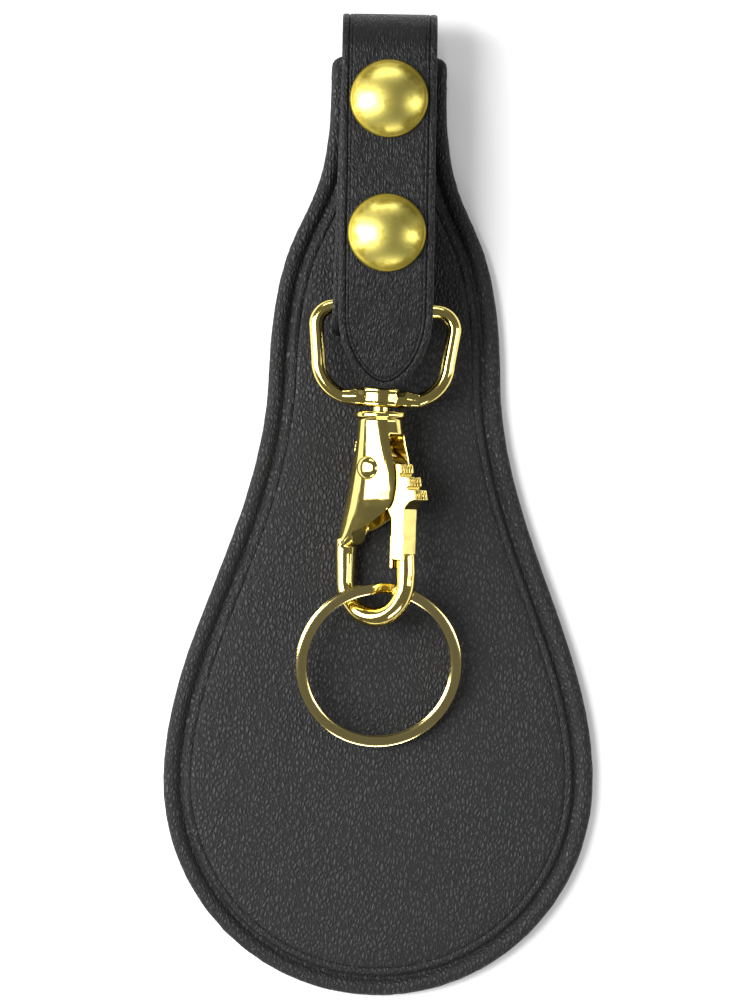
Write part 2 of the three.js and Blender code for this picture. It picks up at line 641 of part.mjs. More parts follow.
function makeHookBody() {
  const barX = EYE_BEND_X - EYE_BEND_RADIUS;
  const bar = [BAR_HALF_WIDTH, BAR_HALF_DEPTH];
  const root = [BAR_HALF_WIDTH, BAR_HALF_DEPTH + BAR_ROOT_THICKENING];
  const barTop = section(barX, -BARREL_LENGTH - BARREL_RUNOUT, -Math.PI / 2, ...root);
  let barrel = loft([...barrelSections(), barTop]);
  const neckEnd = -COLLAR_HEIGHT - COLLAR_NECK;
  const neckRadius = BARREL_RADIUS - COLLAR_NECK_INSET;
  const collar = turned([
    [0, neckEnd], [neckRadius, neckEnd], [neckRadius, -COLLAR_HEIGHT],
    [COLLAR_RADIUS, -COLLAR_HEIGHT + COLLAR_EDGE], [COLLAR_RADIUS, -COLLAR_EDGE],
    [COLLAR_RADIUS - COLLAR_EDGE, 0], [0, 0],
  ], 36).rotateX(-Math.PI / 2);
  barrel = barrel.add(toSolid(collar));

  const slotBend = -BARREL_LENGTH - SLOT_PAST_MOUTH;
  const slotEnd = slotBend - SLOT_RUNOUT;
  const slotShape = polygon([
    [SLOT_LEFT, -SLOT_TOP], [SLOT_LEFT, slotBend], [SLOT_LEFT - SLOT_LEAN, slotEnd],
    [BEYOND, slotEnd], [BEYOND, -SLOT_TOP],
  ]);
  barrel = barrel.subtract(toSolid(slab(slotShape, -SLOT_HALF_WIDTH, SLOT_HALF_WIDTH)));

  const bend = arcSections(
    EYE_BEND_X, -EYE_BEND_DEPTH, EYE_BEND_RADIUS, Math.PI, 2 * Math.PI, 14, ...bar);
  const noseX = EYE_BEND_X + EYE_BEND_RADIUS;
  const tip = bar.map((half) => half - NOSE_TAPER);
  const noseTop = section(noseX, -EYE_BEND_DEPTH + NOSE_LENGTH, Math.PI / 2, ...tip);
  let eye = loft([barTop, ...bend, noseTop]);
  const gateSweep = slab(disc(0, -PIVOT_DEPTH, GATE_REACH + GAP), -BEYOND, BEYOND, FINE);
  const noseSide = [[0, 0], [BEYOND, 0], [BEYOND, -BEYOND], [0, -BEYOND]];
  const noseOnly = slab(polygon(noseSide), -BEYOND, BEYOND);
  eye = eye.subtract(toSolid(gateSweep).intersect(toSolid(noseOnly)));

  const postHole = rod(POST_RADIUS + GAP, -SLOT_TOP - GAP, GAP).rotateX(-Math.PI / 2);
  const pinHole = rod(PIN_RADIUS + GAP, -BEYOND, BEYOND).translate(0, -PIVOT_DEPTH, 0);
  const hook = barrel.add(eye).subtract(toSolid(postHole)).subtract(toSolid(pinHole));
  addPiece(hookFrame, "hook_body", hook, polishedBrass());
}

function makePivotPin() {
  const cheek = BARREL_FLARE[2][2] * BARREL_RADIUS;
  const seat = cheek + PIN_HEAD_STANDOFF;
  const top = seat + PIN_HEAD_HEIGHT;
  const edge = seat + PIN_HEAD_EDGE;
  const crown = PIN_HEAD_RADIUS - PIN_HEAD_DOME;
  const pin = turned([
    [0, -top], [crown, -top], [PIN_HEAD_RADIUS, -edge], [PIN_HEAD_RADIUS, -seat],
    [PIN_RADIUS, -seat], [PIN_RADIUS, seat],
    [PIN_HEAD_RADIUS, seat], [PIN_HEAD_RADIUS, edge], [crown, top], [0, top],
  ]);
  addPiece(hookFrame, "pivot_pin", toSolid(pin.translate(0, -PIVOT_DEPTH, 0)), polishedBrass());
}

// The lever from the front: a hub, three stepped thumb ridges and the gate, in one piece.
function leverOutline() {
  const throatY = -PIVOT_DEPTH - THROAT_DEPTH;
  return polygon([
    [0, HUB_RADIUS - PIVOT_DEPTH],
    ...THUMB_RIDGES.map(([across, along]) => [GATE_OUTER_X + across, along - PIVOT_DEPTH]),
    [GATE_OUTER_X, -PIVOT_DEPTH - GATE_REACH], [GATE_INNER_X, -PIVOT_DEPTH - GATE_REACH],
    [GATE_INNER_X, throatY], [GATE_INNER_X - THROAT_WIDTH, throatY + THROAT_HEIGHT],
    [0, -HUB_RADIUS - PIVOT_DEPTH],
  ]);
}

function makeGateLever() {
  const wide = LEVER_HALF_WIDTH;
  const hub = slab(disc(0, -PIVOT_DEPTH, HUB_RADIUS), -wide, wide);
  const reach = slab(disc(0, -PIVOT_DEPTH, GATE_REACH), -wide, wide, FINE);
  const arm = toSolid(slab(leverOutline(), -wide, wide)).intersect(toSolid(reach));
  const gateEnd = -PIVOT_DEPTH - GATE_REACH;
  const tongueX = GATE_INNER_X - TONGUE_THICKNESS;
  const tongueFace = GATE_INNER_X - TONGUE_CLEARANCE;
  const tongueEnd = gateEnd - TONGUE_REACH;
  const rootY = gateEnd + TONGUE_ROOT;
  const lapX = GATE_INNER_X + TONGUE_LAP;
  const tongueShape = polygon([
    [tongueX, rootY + TONGUE_BURIED], [tongueX, tongueEnd], [tongueFace, tongueEnd],
    [tongueFace, rootY], [lapX, rootY + TONGUE_LAP], [lapX, rootY + TONGUE_BURIED],
  ]);
  const tongue = slab(tongueShape, -TONGUE_HALF_WIDTH, TONGUE_HALF_WIDTH);
  const pocketHalf = SPRING_HEIGHT / 2 + SPRING_WIRE_RADIUS + SPRING_CLEARANCE;
  const pocketRadius = SPRING_MEAN_RADIUS + SPRING_WIRE_RADIUS + GAP;
  const pocket = slab(disc(0, -PIVOT_DEPTH, pocketRadius), -pocketHalf, pocketHalf, FINE / 2);
  const pinHole = rod(PIN_RADIUS + GAP, -BEYOND, BEYOND).translate(0, -PIVOT_DEPTH, 0);
  const lever = join([toSolid(hub), arm, toSolid(tongue)])
    .subtract(toSolid(pocket))
    .subtract(toSolid(pinHole));
  addPiece(hookFrame, "gate_lever", lever, polishedBrass());
}

// A torsion spring round the pin, with one leg up against the back of the slot.
class SpringPath extends THREE.Curve {
  getPoint(t, target = new THREE.Vector3()) {
    const halfHeight = SPRING_HEIGHT / 2;
    if (t < SPRING_LEG_SHARE) {
      const rise = (1 - t / SPRING_LEG_SHARE) * SPRING_LEG;
      return target.set(-SPRING_MEAN_RADIUS, rise - PIVOT_DEPTH, halfHeight);
    }
    const run = (t - SPRING_LEG_SHARE) / (1 - SPRING_LEG_SHARE);
    const angle = Math.PI + run * 2 * Math.PI * SPRING_TURNS;
    return target.set(
      SPRING_MEAN_RADIUS * Math.cos(angle),
      SPRING_MEAN_RADIUS * Math.sin(angle) - PIVOT_DEPTH,
      halfHeight - 2 * halfHeight * run,
    );
  }
}

function makeGateSpring() {
  const spring = new THREE.ExtrudeGeometry(disc(0, 0, SPRING_WIRE_RADIUS), {
    steps: SPRING_STEPS,
    curveSegments: 3,
    extrudePath: new SpringPath(),
  });
  addPiece(hookFrame, "gate_spring", toSolid(spring), springSteel());
}

// ---- The split ring ------------------------------------------------------------------------

// A cut corner section of the flat wire, at an angle round the ring and a height in the pair.
function ringSection(angle, height) {
  const radius = RING_OUTER_RADIUS - RING_WIRE_WIDTH / 2;
  const wide = RING_WIRE_WIDTH / 2;
  const tall = RING_WIRE_HEIGHT / 2;
  const corner = RING_WIRE_CORNER;
  const corners = [
    [corner - wide, -tall], [wide - corner, -tall], [wide, corner - tall], [wide, tall - corner],
    [wide - corner, tall], [corner - wide, tall], [-wide, tall - corner], [-wide, corner - tall],
  ];
  return corners.map(([out, up]) => new THREE.Vector3(
    (radius + out) * Math.cos(angle), (radius + out) * Math.sin(angle), height + up));
}

// Two turns of flat wire that lie on each other. Between its two ends the wire steps up from
// the lower turn to the upper one.
function makeSplitRing() {
  const ringFrame = new THREE.Group();
  const tilt = Math.acos(Math.cos(RING_TILT_DOWN) * Math.cos(RING_TILT_SIDE));
  const pitch = RING_WIRE_HEIGHT + GAP;
  const halfHeight = (pitch + RING_WIRE_HEIGHT) / 2;
  const centreZ = PADDLE_THICKNESS + GAP + halfHeight + RING_OUTER_RADIUS * Math.sin(tilt);
  const centreY = collarY - EYE_BEND_DEPTH - RING_BELOW_EYE;
  ringFrame.position.set(hookX + RING_OFFSET_X, centreY, centreZ);
  ringFrame.rotation.set(RING_TILT_DOWN, RING_TILT_SIDE, 0);
  keyHolder.add(ringFrame);
  const sections = [];
  const reach = 2 * Math.PI - RING_STEP_HALF_ANGLE;
  for (let i = 0; i <= RING_STEPS; i += 1) {
    const fromStep = reach * ((2 * i) / RING_STEPS - 1);
    const crossed = THREE.MathUtils.clamp(fromStep / RING_STEP_HALF_ANGLE, -1, 1);
    sections.push(ringSection(Math.PI / 2 + fromStep, (crossed * pitch) / 2));
  }
  addPiece(ringFrame, "split_ring", loft(sections), polishedBrass());
}

makePaddle();
makeStrap();
makeTopFold();
makeFlap();
["upper", "lower"].forEach((place, i) => {
  makeSnap(place, snapYs[i]);
  makeRivet(place, rivetYs[i]);
});
makeDRing();
makeSwivelPost();
makeHookBody();
makePivotPin();
makeGateLever();
makeGateSpring();
makeSplitRing();

export default keyHolder;
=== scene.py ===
import json
import logging
import math
from collections.abc import Callable, Iterable, Sequence
from dataclasses import dataclass, field
from enum import Enum
from functools import cached_property

import bmesh
import bpy
from mathutils import Matrix, Vector, noise


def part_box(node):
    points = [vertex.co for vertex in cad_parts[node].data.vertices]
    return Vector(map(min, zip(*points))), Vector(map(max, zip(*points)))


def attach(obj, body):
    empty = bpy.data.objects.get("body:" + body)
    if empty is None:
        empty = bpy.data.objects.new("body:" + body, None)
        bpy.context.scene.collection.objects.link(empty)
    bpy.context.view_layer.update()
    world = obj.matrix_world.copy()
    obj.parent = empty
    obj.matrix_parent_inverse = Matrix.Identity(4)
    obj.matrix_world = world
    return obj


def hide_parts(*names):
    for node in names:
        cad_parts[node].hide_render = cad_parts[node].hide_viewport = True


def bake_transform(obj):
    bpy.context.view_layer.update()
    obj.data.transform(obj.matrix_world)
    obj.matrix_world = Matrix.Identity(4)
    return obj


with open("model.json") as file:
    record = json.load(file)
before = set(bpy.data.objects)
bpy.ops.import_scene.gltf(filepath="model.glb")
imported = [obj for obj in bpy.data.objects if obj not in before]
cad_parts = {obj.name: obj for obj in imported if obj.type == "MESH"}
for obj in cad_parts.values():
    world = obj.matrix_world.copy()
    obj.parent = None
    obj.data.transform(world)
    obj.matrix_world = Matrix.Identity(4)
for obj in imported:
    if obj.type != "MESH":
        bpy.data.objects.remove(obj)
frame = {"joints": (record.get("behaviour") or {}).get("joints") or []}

logging.basicConfig(level=logging.INFO, format="%(message)s")
log = logging.getLogger("key_holder")

MM = 0.001
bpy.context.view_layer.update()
AXIS_X = Vector((1, 0, 0))
AXIS_Y = Vector((0, 1, 0))
AXIS_Z = Vector((0, 0, 1))
QUARTER = math.pi / 2
ARC_HANDLE = 0.5523
SNAPS_Y = {"upper": 78.1, "lower": 52.5}
RIVETS_Y = {"upper": 75.6, "lower": 47.6}


class Body(Enum):
    """The rigid bodies of the holder that pieces ride on."""

    HOLDER = "holder"
    FLAP = "flap"
    D_RING = "d_ring"
    HOOK = "hook"
    GATE = "gate"
    RING = "ring"


class Slot(Enum):
    """The record's material slots."""

    PEBBLED = "leather_pebbled"
    STRAP = "leather_strap"
    POLISHED = "brass_polished"
    SATIN = "brass_satin"
    SPRING = "spring_wire"


# ---- Shader building --------------------------------------------------------------------------


class Value:
    """A number in a material that can be used in Python sums."""

    def __init__(self, board: "Board", socket: bpy.types.NodeSocket) -> None:
        """Wrap a socket.

        Args:
            board: the material board the socket is on.
            socket: the output that carries the number.
        """
        self.board = board
        self.socket = socket

    def __add__(self, other: "Value | float") -> "Value":
        """Return self + other."""
        return self.board.math("ADD", self, other)

    def __sub__(self, other: "Value | float") -> "Value":
        """Return self - other."""
        return self.board.math("SUBTRACT", self, other)

    def __mul__(self, other: "Value | float") -> "Value":
        """Return self * other."""
        return self.board.math("MULTIPLY", self, other)

    def __rsub__(self, other: float) -> "Value":
        """Return other - self."""
        return self.board.math("SUBTRACT", other, self)

    __radd__ = __add__
    __rmul__ = __mul__

    def step(self, low: float, high: float) -> "Value":
        """Rise smoothly from 0 at low to 1 at high.

        Args:
            low: where the result is 0.
            high: where the result is 1; it may be below low.

        Returns:
            The smoothed value.
        """
        settings = {"interpolation_type": "SMOOTHSTEP"}
        node = self.board.node("ShaderNodeMapRange", settings, {0: self, 1: low, 2: high})
        return Value(self.board, node.outputs[0])


class Board:
    """A new material and the nodes on it."""

    def __init__(self, name: str) -> None:
        """Make the material with its shader and output.

        Args:
            name: the material's name.
        """
        self.material = bpy.data.materials.new(name)
        self.material.use_nodes = True
        self.tree = self.material.node_tree
        self.tree.nodes.clear()
        self.shader = self.node("ShaderNodeBsdfPrincipled")
        self.node("ShaderNodeOutputMaterial", inputs={"Surface": self.shader.outputs[0]})

    def node(
        self,
        kind: str,
        settings: dict[str, object] | None = None,
        inputs: dict[str | int, object] | None = None,
    ) -> bpy.types.Node:
        """Add a node, its settings first and then what goes into its sockets.

        Args:
            kind: the node's type.
            settings: its properties; "stops" holds a ramp's positions and colours.
            inputs: a value, a link or a Value for each named or numbered socket.

        Returns:
            The new node.
        """
        made = self.tree.nodes.new(kind)
        for key, setting in (settings or {}).items():
            if key == "stops":
                self._set_stops(made, setting)
            else:
                setattr(made, key, setting)
        for key, given in (inputs or {}).items():
            source = given.socket if isinstance(given, Value) else given
            if isinstance(source, bpy.types.NodeSocket):
                self.tree.links.new(source, made.inputs[key])
            else:
                made.inputs[key].default_value = source
        return made

    @staticmethod
    def _set_stops(ramp: bpy.types.Node, stops: Sequence[tuple[float, tuple]]) -> None:
        """Give a colour ramp its stops.

        Args:
            ramp: the ramp node.
            stops: position and colour of each stop.
        """
        elements = ramp.color_ramp.elements
        while len(elements) < len(stops):
            elements.new(1.0)
        for element, (position, color) in zip(elements, stops):
            element.position = position
            element.color = (*color, 1.0)

    def math(self, operation: str, left: "Value | float", right: "Value | float") -> Value:
        """Add a Math node.

        Args:
            operation: the sum it does.
            left: first number.
            right: second number.

        Returns:
            Its result.
        """
        made = self.node("ShaderNodeMath", {"operation": operation}, {0: left, 1: right})
        return Value(self, made.outputs[0])

    def vector(self, operation: str, left: object, right: object) -> bpy.types.NodeSocket:
        """Add a Vector Math node.

        Args:
            operation: what it does.
            left: first vector or link.
            right: second vector or link.

        Returns:
            Its vector output.
        """
        made = self.node("ShaderNodeVectorMath", {"operation": operation}, {0: left, 1: right})
        return made.outputs[0]

    def mix(self, factor: Value, low: object, high: object) -> bpy.types.NodeSocket:
        """Mix two colours.

        Args:
            factor: 0 for the first colour, 1 for the second.
            low: first colour or link.
            high: second colour or link.

        Returns:
            The colour output.
        """
        made = self.node("ShaderNodeMix", {"data_type": "RGBA"}, {0: factor, 6: low, 7: high})
        return made.outputs[2]

    def noise(self, where: object, scale: float, detail: float = 2.0) -> Value:
        """Add a noise pattern.

        Args:
            where: the coordinates.
            scale: cells per metre.
            detail: octaves.

        Returns:
            The pattern, 0 to 1.
        """
        inputs = {"Vector": where, "Scale": scale, "Detail": detail}
        return Value(self, self.node("ShaderNodeTexNoise", None, inputs).outputs[0])

    def attribute(self, name: str) -> Value:
        """Return a mesh attribute's value."""
        made = self.node("ShaderNodeAttribute", {"attribute_name": name})
        return Value(self, made.outputs["Fac"])

    def coordinates(self, uv: bool) -> bpy.types.NodeSocket:
        """Return object coordinates, or the piece's own flat layout."""
        if uv:
            return self.node("ShaderNodeUVMap", {"uv_map": "layout"}).outputs[0]
        return self.node("ShaderNodeTexCoord").outputs["Object"]

    def bump(self, layers: Sequence[tuple[Value, float, float]]) -> None:
        """Stack bumps and send them to the shader.

        Args:
            layers: height, strength and distance in metres of each bump, deepest first.
        """
        normal: object = (0.0, 0.0, 0.0)
        for height, strength, distance in layers:
            inputs: dict[str | int, object] = {
                "Strength": strength, "Distance": distance, "Height": height}
            if isinstance(normal, bpy.types.NodeSocket):
                inputs["Normal"] = normal
            normal = self.node("ShaderNodeBump", None, inputs).outputs[0]
        self.tree.links.new(normal, self.shader.inputs["Normal"])

    def surface(self, **sockets: object) -> None:
        """Set or link the shader's sockets.

        Args:
            **sockets: socket names with _ for spaces, and a value, link or Value for each.
        """
        for name, given in sockets.items():
            target = self.shader.inputs[name.replace("_", " ")]
            source = given.socket if isinstance(given, Value) else given
            if isinstance(source, bpy.types.NodeSocket):
                self.tree.links.new(source, target)
            else:
                target.default_value = source


# ---- Finishes ---------------------------------------------------------------------------------

Rgb = tuple[float, float, float]


def rgba(color: Rgb) -> tuple[float, float, float, float]:
    """Return the colour with full alpha."""
    return (*color, 1.0)


@dataclass(frozen=True)
class LeatherFinish:
    """Black leather with a raised grain."""

    name: str
    grain: float
    stretch: float
    angle: float
    depth: float
    uv: bool = False
    low: Rgb = (0.0015, 0.0015, 0.0018)
    high: Rgb = (0.013, 0.0136, 0.0148)
    rough: float = 0.46
    wander: float = 0.35
    sheen: float = 0.38

    def material(self) -> bpy.types.Material:
        """Return the finish as a material."""
        board = Board(self.name)
        where = board.coordinates(self.uv)
        drift = board.node("ShaderNodeTexNoise", None,
                           {"Vector": where, "Scale": 0.55 / self.grain, "Detail": 1.0})
        shift = board.vector("SUBTRACT", drift.outputs["Color"], (0.5, 0.5, 0.5))
        shift = board.vector("MULTIPLY", shift, (self.wander * 2 * self.grain,) * 3)
        warped = board.vector("ADD", where, shift)
        turned = board.node("ShaderNodeMapping", None, {
            "Vector": warped, "Rotation": (0.0, 0.0, self.angle),
            "Scale": (1.0, 1.0 / self.stretch, 1.0)}).outputs[0]
        cells = board.node("ShaderNodeTexVoronoi", {"feature": "DISTANCE_TO_EDGE"},
                           {"Vector": turned, "Scale": 1.0 / self.grain})
        pebble = Value(board, cells.outputs[0]).step(0.0, 0.34)
        fine = board.noise(turned, 3.4 / self.grain, 3.0)
        broad = board.noise(where, 55.0, 2.0)
        worn = board.attribute("burnish")
        height = pebble * (1 - worn * 0.75) + fine * 0.35
        tone = (pebble * 0.6 + fine * 0.35 + broad * 0.35) * (1 - worn * 0.45)
        board.surface(
            Base_Color=board.mix(tone.step(0.1, 1.25), rgba(self.low), rgba(self.high)),
            Roughness=self.rough + (1 - pebble) * 0.22 + (broad - 0.5) * 0.16 + worn * 0.06,
            Specular_IOR_Level=self.sheen,
        )
        board.bump([(broad, 0.35, 1.2 * MM), (height, 1.0, self.depth)])
        return board.material


@dataclass(frozen=True)
class BrassFinish:
    """Brass plating, from mirror polish to satin."""

    name: str
    bright: Rgb
    dull: Rgb
    rough: float
    wear: float
    ripple: float
    spot: float = 1.6 * MM
    # rim: paints shade on a domed cap, darker towards its rim.
    rim: bool = False

    def material(self) -> bpy.types.Material:
        """Return the finish as a material."""
        board = Board(self.name)
        where = board.coordinates(False)
        blotch = board.noise(where, 1.0 / self.spot, 4.0)
        grit = board.noise(where, 9000.0, 2.0)
        swirl = board.noise(where, 0.35 / self.spot, 1.0)
        tarnish_and_rim_shade = blotch.step(0.38, 0.72) * self.wear
        # Satin caps: painted shade, the colour darker towards the rim where the dome turns from
        # the light, with the real mottling and fine scratches on top.
        if self.rim:
            edge = board.attribute("rim")
            tarnish_and_rim_shade = tarnish_and_rim_shade * 0.75 + edge.step(0.62, 1.0) * 0.85 + (grit - 0.5) * 0.5
        tarnish_and_rim_shade = tarnish_and_rim_shade.step(0.0, 1.0)
        board.surface(
            Base_Color=board.mix(tarnish_and_rim_shade, rgba(self.bright), rgba(self.dull)),
            Metallic=1.0,
            Roughness=self.rough + tarnish_and_rim_shade * 0.16 + (swirl - 0.5) * 0.05,
        )
        board.bump([(swirl, 0.5, self.ripple), (grit, 0.12, 0.01 * MM)])
        return board.material


PEBBLED = LeatherFinish("black_pebbled_leather", 0.72 * MM, 1.8, math.radians(52), 0.12 * MM)
CREASED = LeatherFinish("black_creased_strap_leather", 0.5 * MM, 2.8, 0.0, 0.09 * MM, uv=True,
                        low=(0.001, 0.001, 0.0012), high=(0.0055, 0.006, 0.0065), rough=0.35,
                        sheen=0.27)
POLISHED = BrassFinish("polished_cast_brass", (0.80, 0.65, 0.20), (0.46, 0.34, 0.07),
                       0.10, 0.35, 0.06 * MM)
RING_WIRE = BrassFinish("drawn_brass_wire", (0.78, 0.64, 0.26), (0.46, 0.34, 0.10),
                        0.14, 0.30, 0.03 * MM)
SATIN = BrassFinish("satin_snap_brass", (0.72, 0.62, 0.15), (0.27, 0.21, 0.03),
                    0.34, 0.80, 0.03 * MM, 2.6 * MM, rim=True)
FASTENER = BrassFinish("plain_fastener_brass", (0.80, 0.68, 0.30), (0.42, 0.32, 0.12),
                       0.26, 0.5, 0.02 * MM)
SPRING = BrassFinish("brassed_spring_wire", (0.80, 0.66, 0.34), (0.45, 0.34, 0.14),
                     0.20, 0.4, 0.01 * MM)


@dataclass
class Wardrobe:
    """Keeps one material for each finish."""

    made: dict[str, bpy.types.Material] = field(default_factory=dict)

    def get(self, finish: LeatherFinish | BrassFinish) -> bpy.types.Material:
        """Return the finish's material, made once."""
        if finish.name not in self.made:
            self.made[finish.name] = finish.material()
        return self.made[finish.name]


WARDROBE = Wardrobe()


# ---- Modelling bench --------------------------------------------------------------------------

Profile = tuple[tuple[float, float], ...]


def section(across: Vector, out: Vector, along: Vector, centre: Sequence[float]) -> Matrix:
    """Return the matrix that carries a unit circle in x and y to a section of a sweep.

    Args:
        across: half the section's width, as a vector.
        out: half its depth, as a vector.
        along: the direction of the path.
        centre: its middle, in millimetres.

    Returns:
        The matrix.
    """
    matrix = Matrix((across, out, along)).transposed().to_4x4()
    matrix.translation = Vector(centre)
    return matrix


def spoke(angle: float) -> tuple[Vector, Vector]:
    """Return the outward and the onward direction at an angle round +z."""
    return (Vector((math.cos(angle), math.sin(angle), 0)),
            Vector((-math.sin(angle), math.cos(angle), 0)))


def mirrored(right: Sequence[tuple]) -> list[tuple]:
    """Return the right-hand anchors of an outline, then the same ones on the left."""
    left = [tuple((-x, y) for x, y in (point, after, before))
            for point, before, after in reversed(right)]
    return [*right, *left]


def station(
    centre: Sequence[float], heading: float, half_width: float, half_depth: float
) -> Matrix:
    """Place a section across a path in the x-y plane.

    Args:
        centre: middle of the section, in millimetres.
        heading: direction of the path, in radians from +x.
        half_width: half size across the path in the plane.
        half_depth: half size out of the plane.

    Returns:
        The matrix that carries a unit circle in x and y to the section.
    """
    across = Vector((-math.sin(heading), math.cos(heading), 0)) * half_width
    along = Vector((math.cos(heading), math.sin(heading), 0))
    return section(across, AXIS_Z * half_depth, along, centre)


def arc_stations(
    centre: tuple[float, float],
    radius: float,
    start: float,
    end: float,
    steps: int,
    half_width: float | Callable[[float], float],
    half_depth: float,
) -> list[Matrix]:
    """Place sections round an arc of the x-y plane.

    Args:
        centre: the arc's centre, in millimetres.
        radius: its radius.
        start: first angle, in radians.
        end: last angle.
        steps: how many steps between them.
        half_width: half size across the path, or its size for a share of the arc.
        half_depth: half size out of the plane.

    Returns:
        One station for each step and one for the start.
    """
    sense = math.copysign(QUARTER, end - start)
    stations = []
    for i in range(steps + 1):
        share = i / steps
        angle = start + (end - start) * share
        width = half_width(share) if callable(half_width) else half_width
        point = (centre[0] + radius * math.cos(angle), centre[1] + radius * math.sin(angle), 0)
        stations.append(station(point, angle + sense, width, half_depth))
    return stations


class Workpiece:
    """A mesh on the bench, in millimetres, shaped with operators and then finished."""

    def __init__(self) -> None:
        """Start with nothing on the bench."""
        self.bm = bmesh.new()

    def absorb(self, other: "Workpiece") -> "Workpiece":
        """Add another workpiece's mesh to this one and return this one."""
        mesh = bpy.data.meshes.new("absorbed")
        other.bm.to_mesh(mesh)
        other.bm.free()
        self.bm.from_mesh(mesh)
        bpy.data.meshes.remove(mesh)
        return self

    def spin_profile(self, corners: Sequence[tuple[float, float]], steps: int = 72) -> "Workpiece":
        """Turn a profile round +Z.

        Args:
            corners: radius and height of each corner, in order; closed unless it starts and
                ends on the axis.
            steps: sides of the turned shape.

        Returns:
            This workpiece.
        """
        points = [self.bm.verts.new((radius, 0, height)) for radius, height in corners]
        edges = [self.bm.edges.new(pair) for pair in zip(points, points[1:])]
        if corners[0][0] > 0 or corners[-1][0] > 0:
            edges.append(self.bm.edges.new((points[-1], points[0])))
        bmesh.ops.spin(self.bm, geom=[*points, *edges], cent=(0, 0, 0), axis=AXIS_Z,
                       angle=2 * math.pi, steps=steps, use_merge=True)
        self.close_up()
        return self

    def sweep(self, stations: Sequence[Matrix], sides: int = 24, closed: bool = False,
              flats: float = 0.0) -> "Workpiece":
        """Carry a section through a row of stations.

        Args:
            stations: where the section goes.
            sides: corners of the section.
            closed: whether the last station joins the first.
            flats: how far the round section is pushed towards a rounded square, 0 to 1.

        Returns:
            This workpiece.
        """
        ring = bmesh.ops.create_circle(self.bm, segments=sides, radius=1.0)["verts"]
        for vert in ring:
            reach = max(abs(vert.co.x), abs(vert.co.y))
            vert.co *= 1 + flats * (1 / reach - 1)
        edges = list(dict.fromkeys(edge for vert in ring for edge in vert.link_edges))
        first = edges
        bmesh.ops.transform(self.bm, matrix=stations[0], verts=ring)
        for before, after in zip(stations, stations[1:]):
            made = bmesh.ops.extrude_edge_only(self.bm, edges=edges)["geom"]
            verts = [item for item in made if isinstance(item, bmesh.types.BMVert)]
            edges = [item for item in made if isinstance(item, bmesh.types.BMEdge)]
            bmesh.ops.transform(self.bm, matrix=after @ before.inverted(), verts=verts)
        if closed:
            bmesh.ops.bridge_loops(self.bm, edges=[*edges, *first])
        else:
            bmesh.ops.contextual_create(self.bm, geom=first)
            bmesh.ops.contextual_create(self.bm, geom=edges)
        self.close_up()
        return self

    def outline(self, anchors: Sequence[tuple], resolution: int = 24) -> list[bmesh.types.BMFace]:
        """Lay a smooth closed outline on the bench and fill it.

        Args:
            anchors: point, handle before it and handle after it, in x and y.
            resolution: steps between two anchors.

        Returns:
            The face inside the outline.
        """
        curve = bpy.data.curves.new("outline", "CURVE")
        curve.dimensions = "2D"
        curve.fill_mode = "NONE"
        spline = curve.splines.new("BEZIER")
        spline.bezier_points.add(len(anchors) - 1)
        spline.use_cyclic_u = True
        spline.resolution_u = resolution
        for knot, (point, before, after) in zip(spline.bezier_points, anchors):
            knot.handle_left_type = knot.handle_right_type = "FREE"
            knot.co = (*point, 0)
            knot.handle_left = (*before, 0)
            knot.handle_right = (*after, 0)
        holder = bpy.data.objects.new("outline", curve)
        mesh = bpy.data.meshes.new_from_object(holder)
        self.bm.from_mesh(mesh)
        bpy.data.objects.remove(holder)
        bpy.data.curves.remove(curve)
        bpy.data.meshes.remove(mesh)
        bmesh.ops.remove_doubles(self.bm, verts=self.bm.verts[:], dist=0.01)
        filled = bmesh.ops.contextual_create(self.bm, geom=self.bm.edges[:])["faces"]
        for face in filled:
            if face.normal.z < 0:
                face.normal_flip()
        self.bm.normal_update()
        return filled

    def raise_face(self, face: bmesh.types.BMFace, lift: float, keep: bool = False
                   ) -> bmesh.types.BMFace:
        """Pull a face up into a wall.

        Args:
            face: the face.
            lift: how far it goes.
            keep: whether the face itself stays as the bottom.

        Returns:
            The face at the top.
        """
        made = bmesh.ops.extrude_face_region(self.bm, geom=[face])["geom"]
        top = next(item for item in made if isinstance(item, bmesh.types.BMFace))
        if not keep:
            bmesh.ops.delete(self.bm, geom=[face], context="FACES_ONLY")
        bmesh.ops.translate(self.bm, vec=(0, 0, lift), verts=list(top.verts))
        self.bm.normal_update()
        return top

    def remember_home(self, face: bmesh.types.BMFace) -> None:
        """Keep each corner's place and mitred outward direction, for a border to follow.

        Args:
            face: the outline's face.
        """
        home = self.bm.verts.layers.float_vector.new("home")
        away = self.bm.verts.layers.float_vector.new("away")
        for loop in face.loops:
            before = loop.vert.co - loop.link_loop_prev.vert.co
            after = loop.link_loop_next.vert.co - loop.vert.co
            sides = [run.cross(AXIS_Z).normalized() for run in (before, after)]
            mitre = (sides[0] + sides[1]) / (1 + max(sides[0].dot(sides[1]), -0.2))
            loop.vert[home] = loop.vert.co
            loop.vert[away] = mitre

    def terrace(
        self,
        face: bmesh.types.BMFace,
        steps: Sequence[tuple[float, float]],
        limit: Callable[[Vector, float], Vector] = lambda place, inset: place,
    ) -> bmesh.types.BMFace:
        """Work a moulded border into a face.

        Args:
            face: the face.
            steps: distance in from the outline, and height, of each line of the border.
            limit: keeps a line's places out of tight corners.

        Returns:
            The face inside the border.
        """
        home = self.bm.verts.layers.float_vector["home"]
        away = self.bm.verts.layers.float_vector["away"]
        for inset, height in steps:
            face = self.raise_face(face, 0.0)
            for vert in face.verts:
                place = limit(vert[home] - vert[away] * inset, inset)
                vert.co = (place.x, place.y, height)
        self.bm.normal_update()
        return face

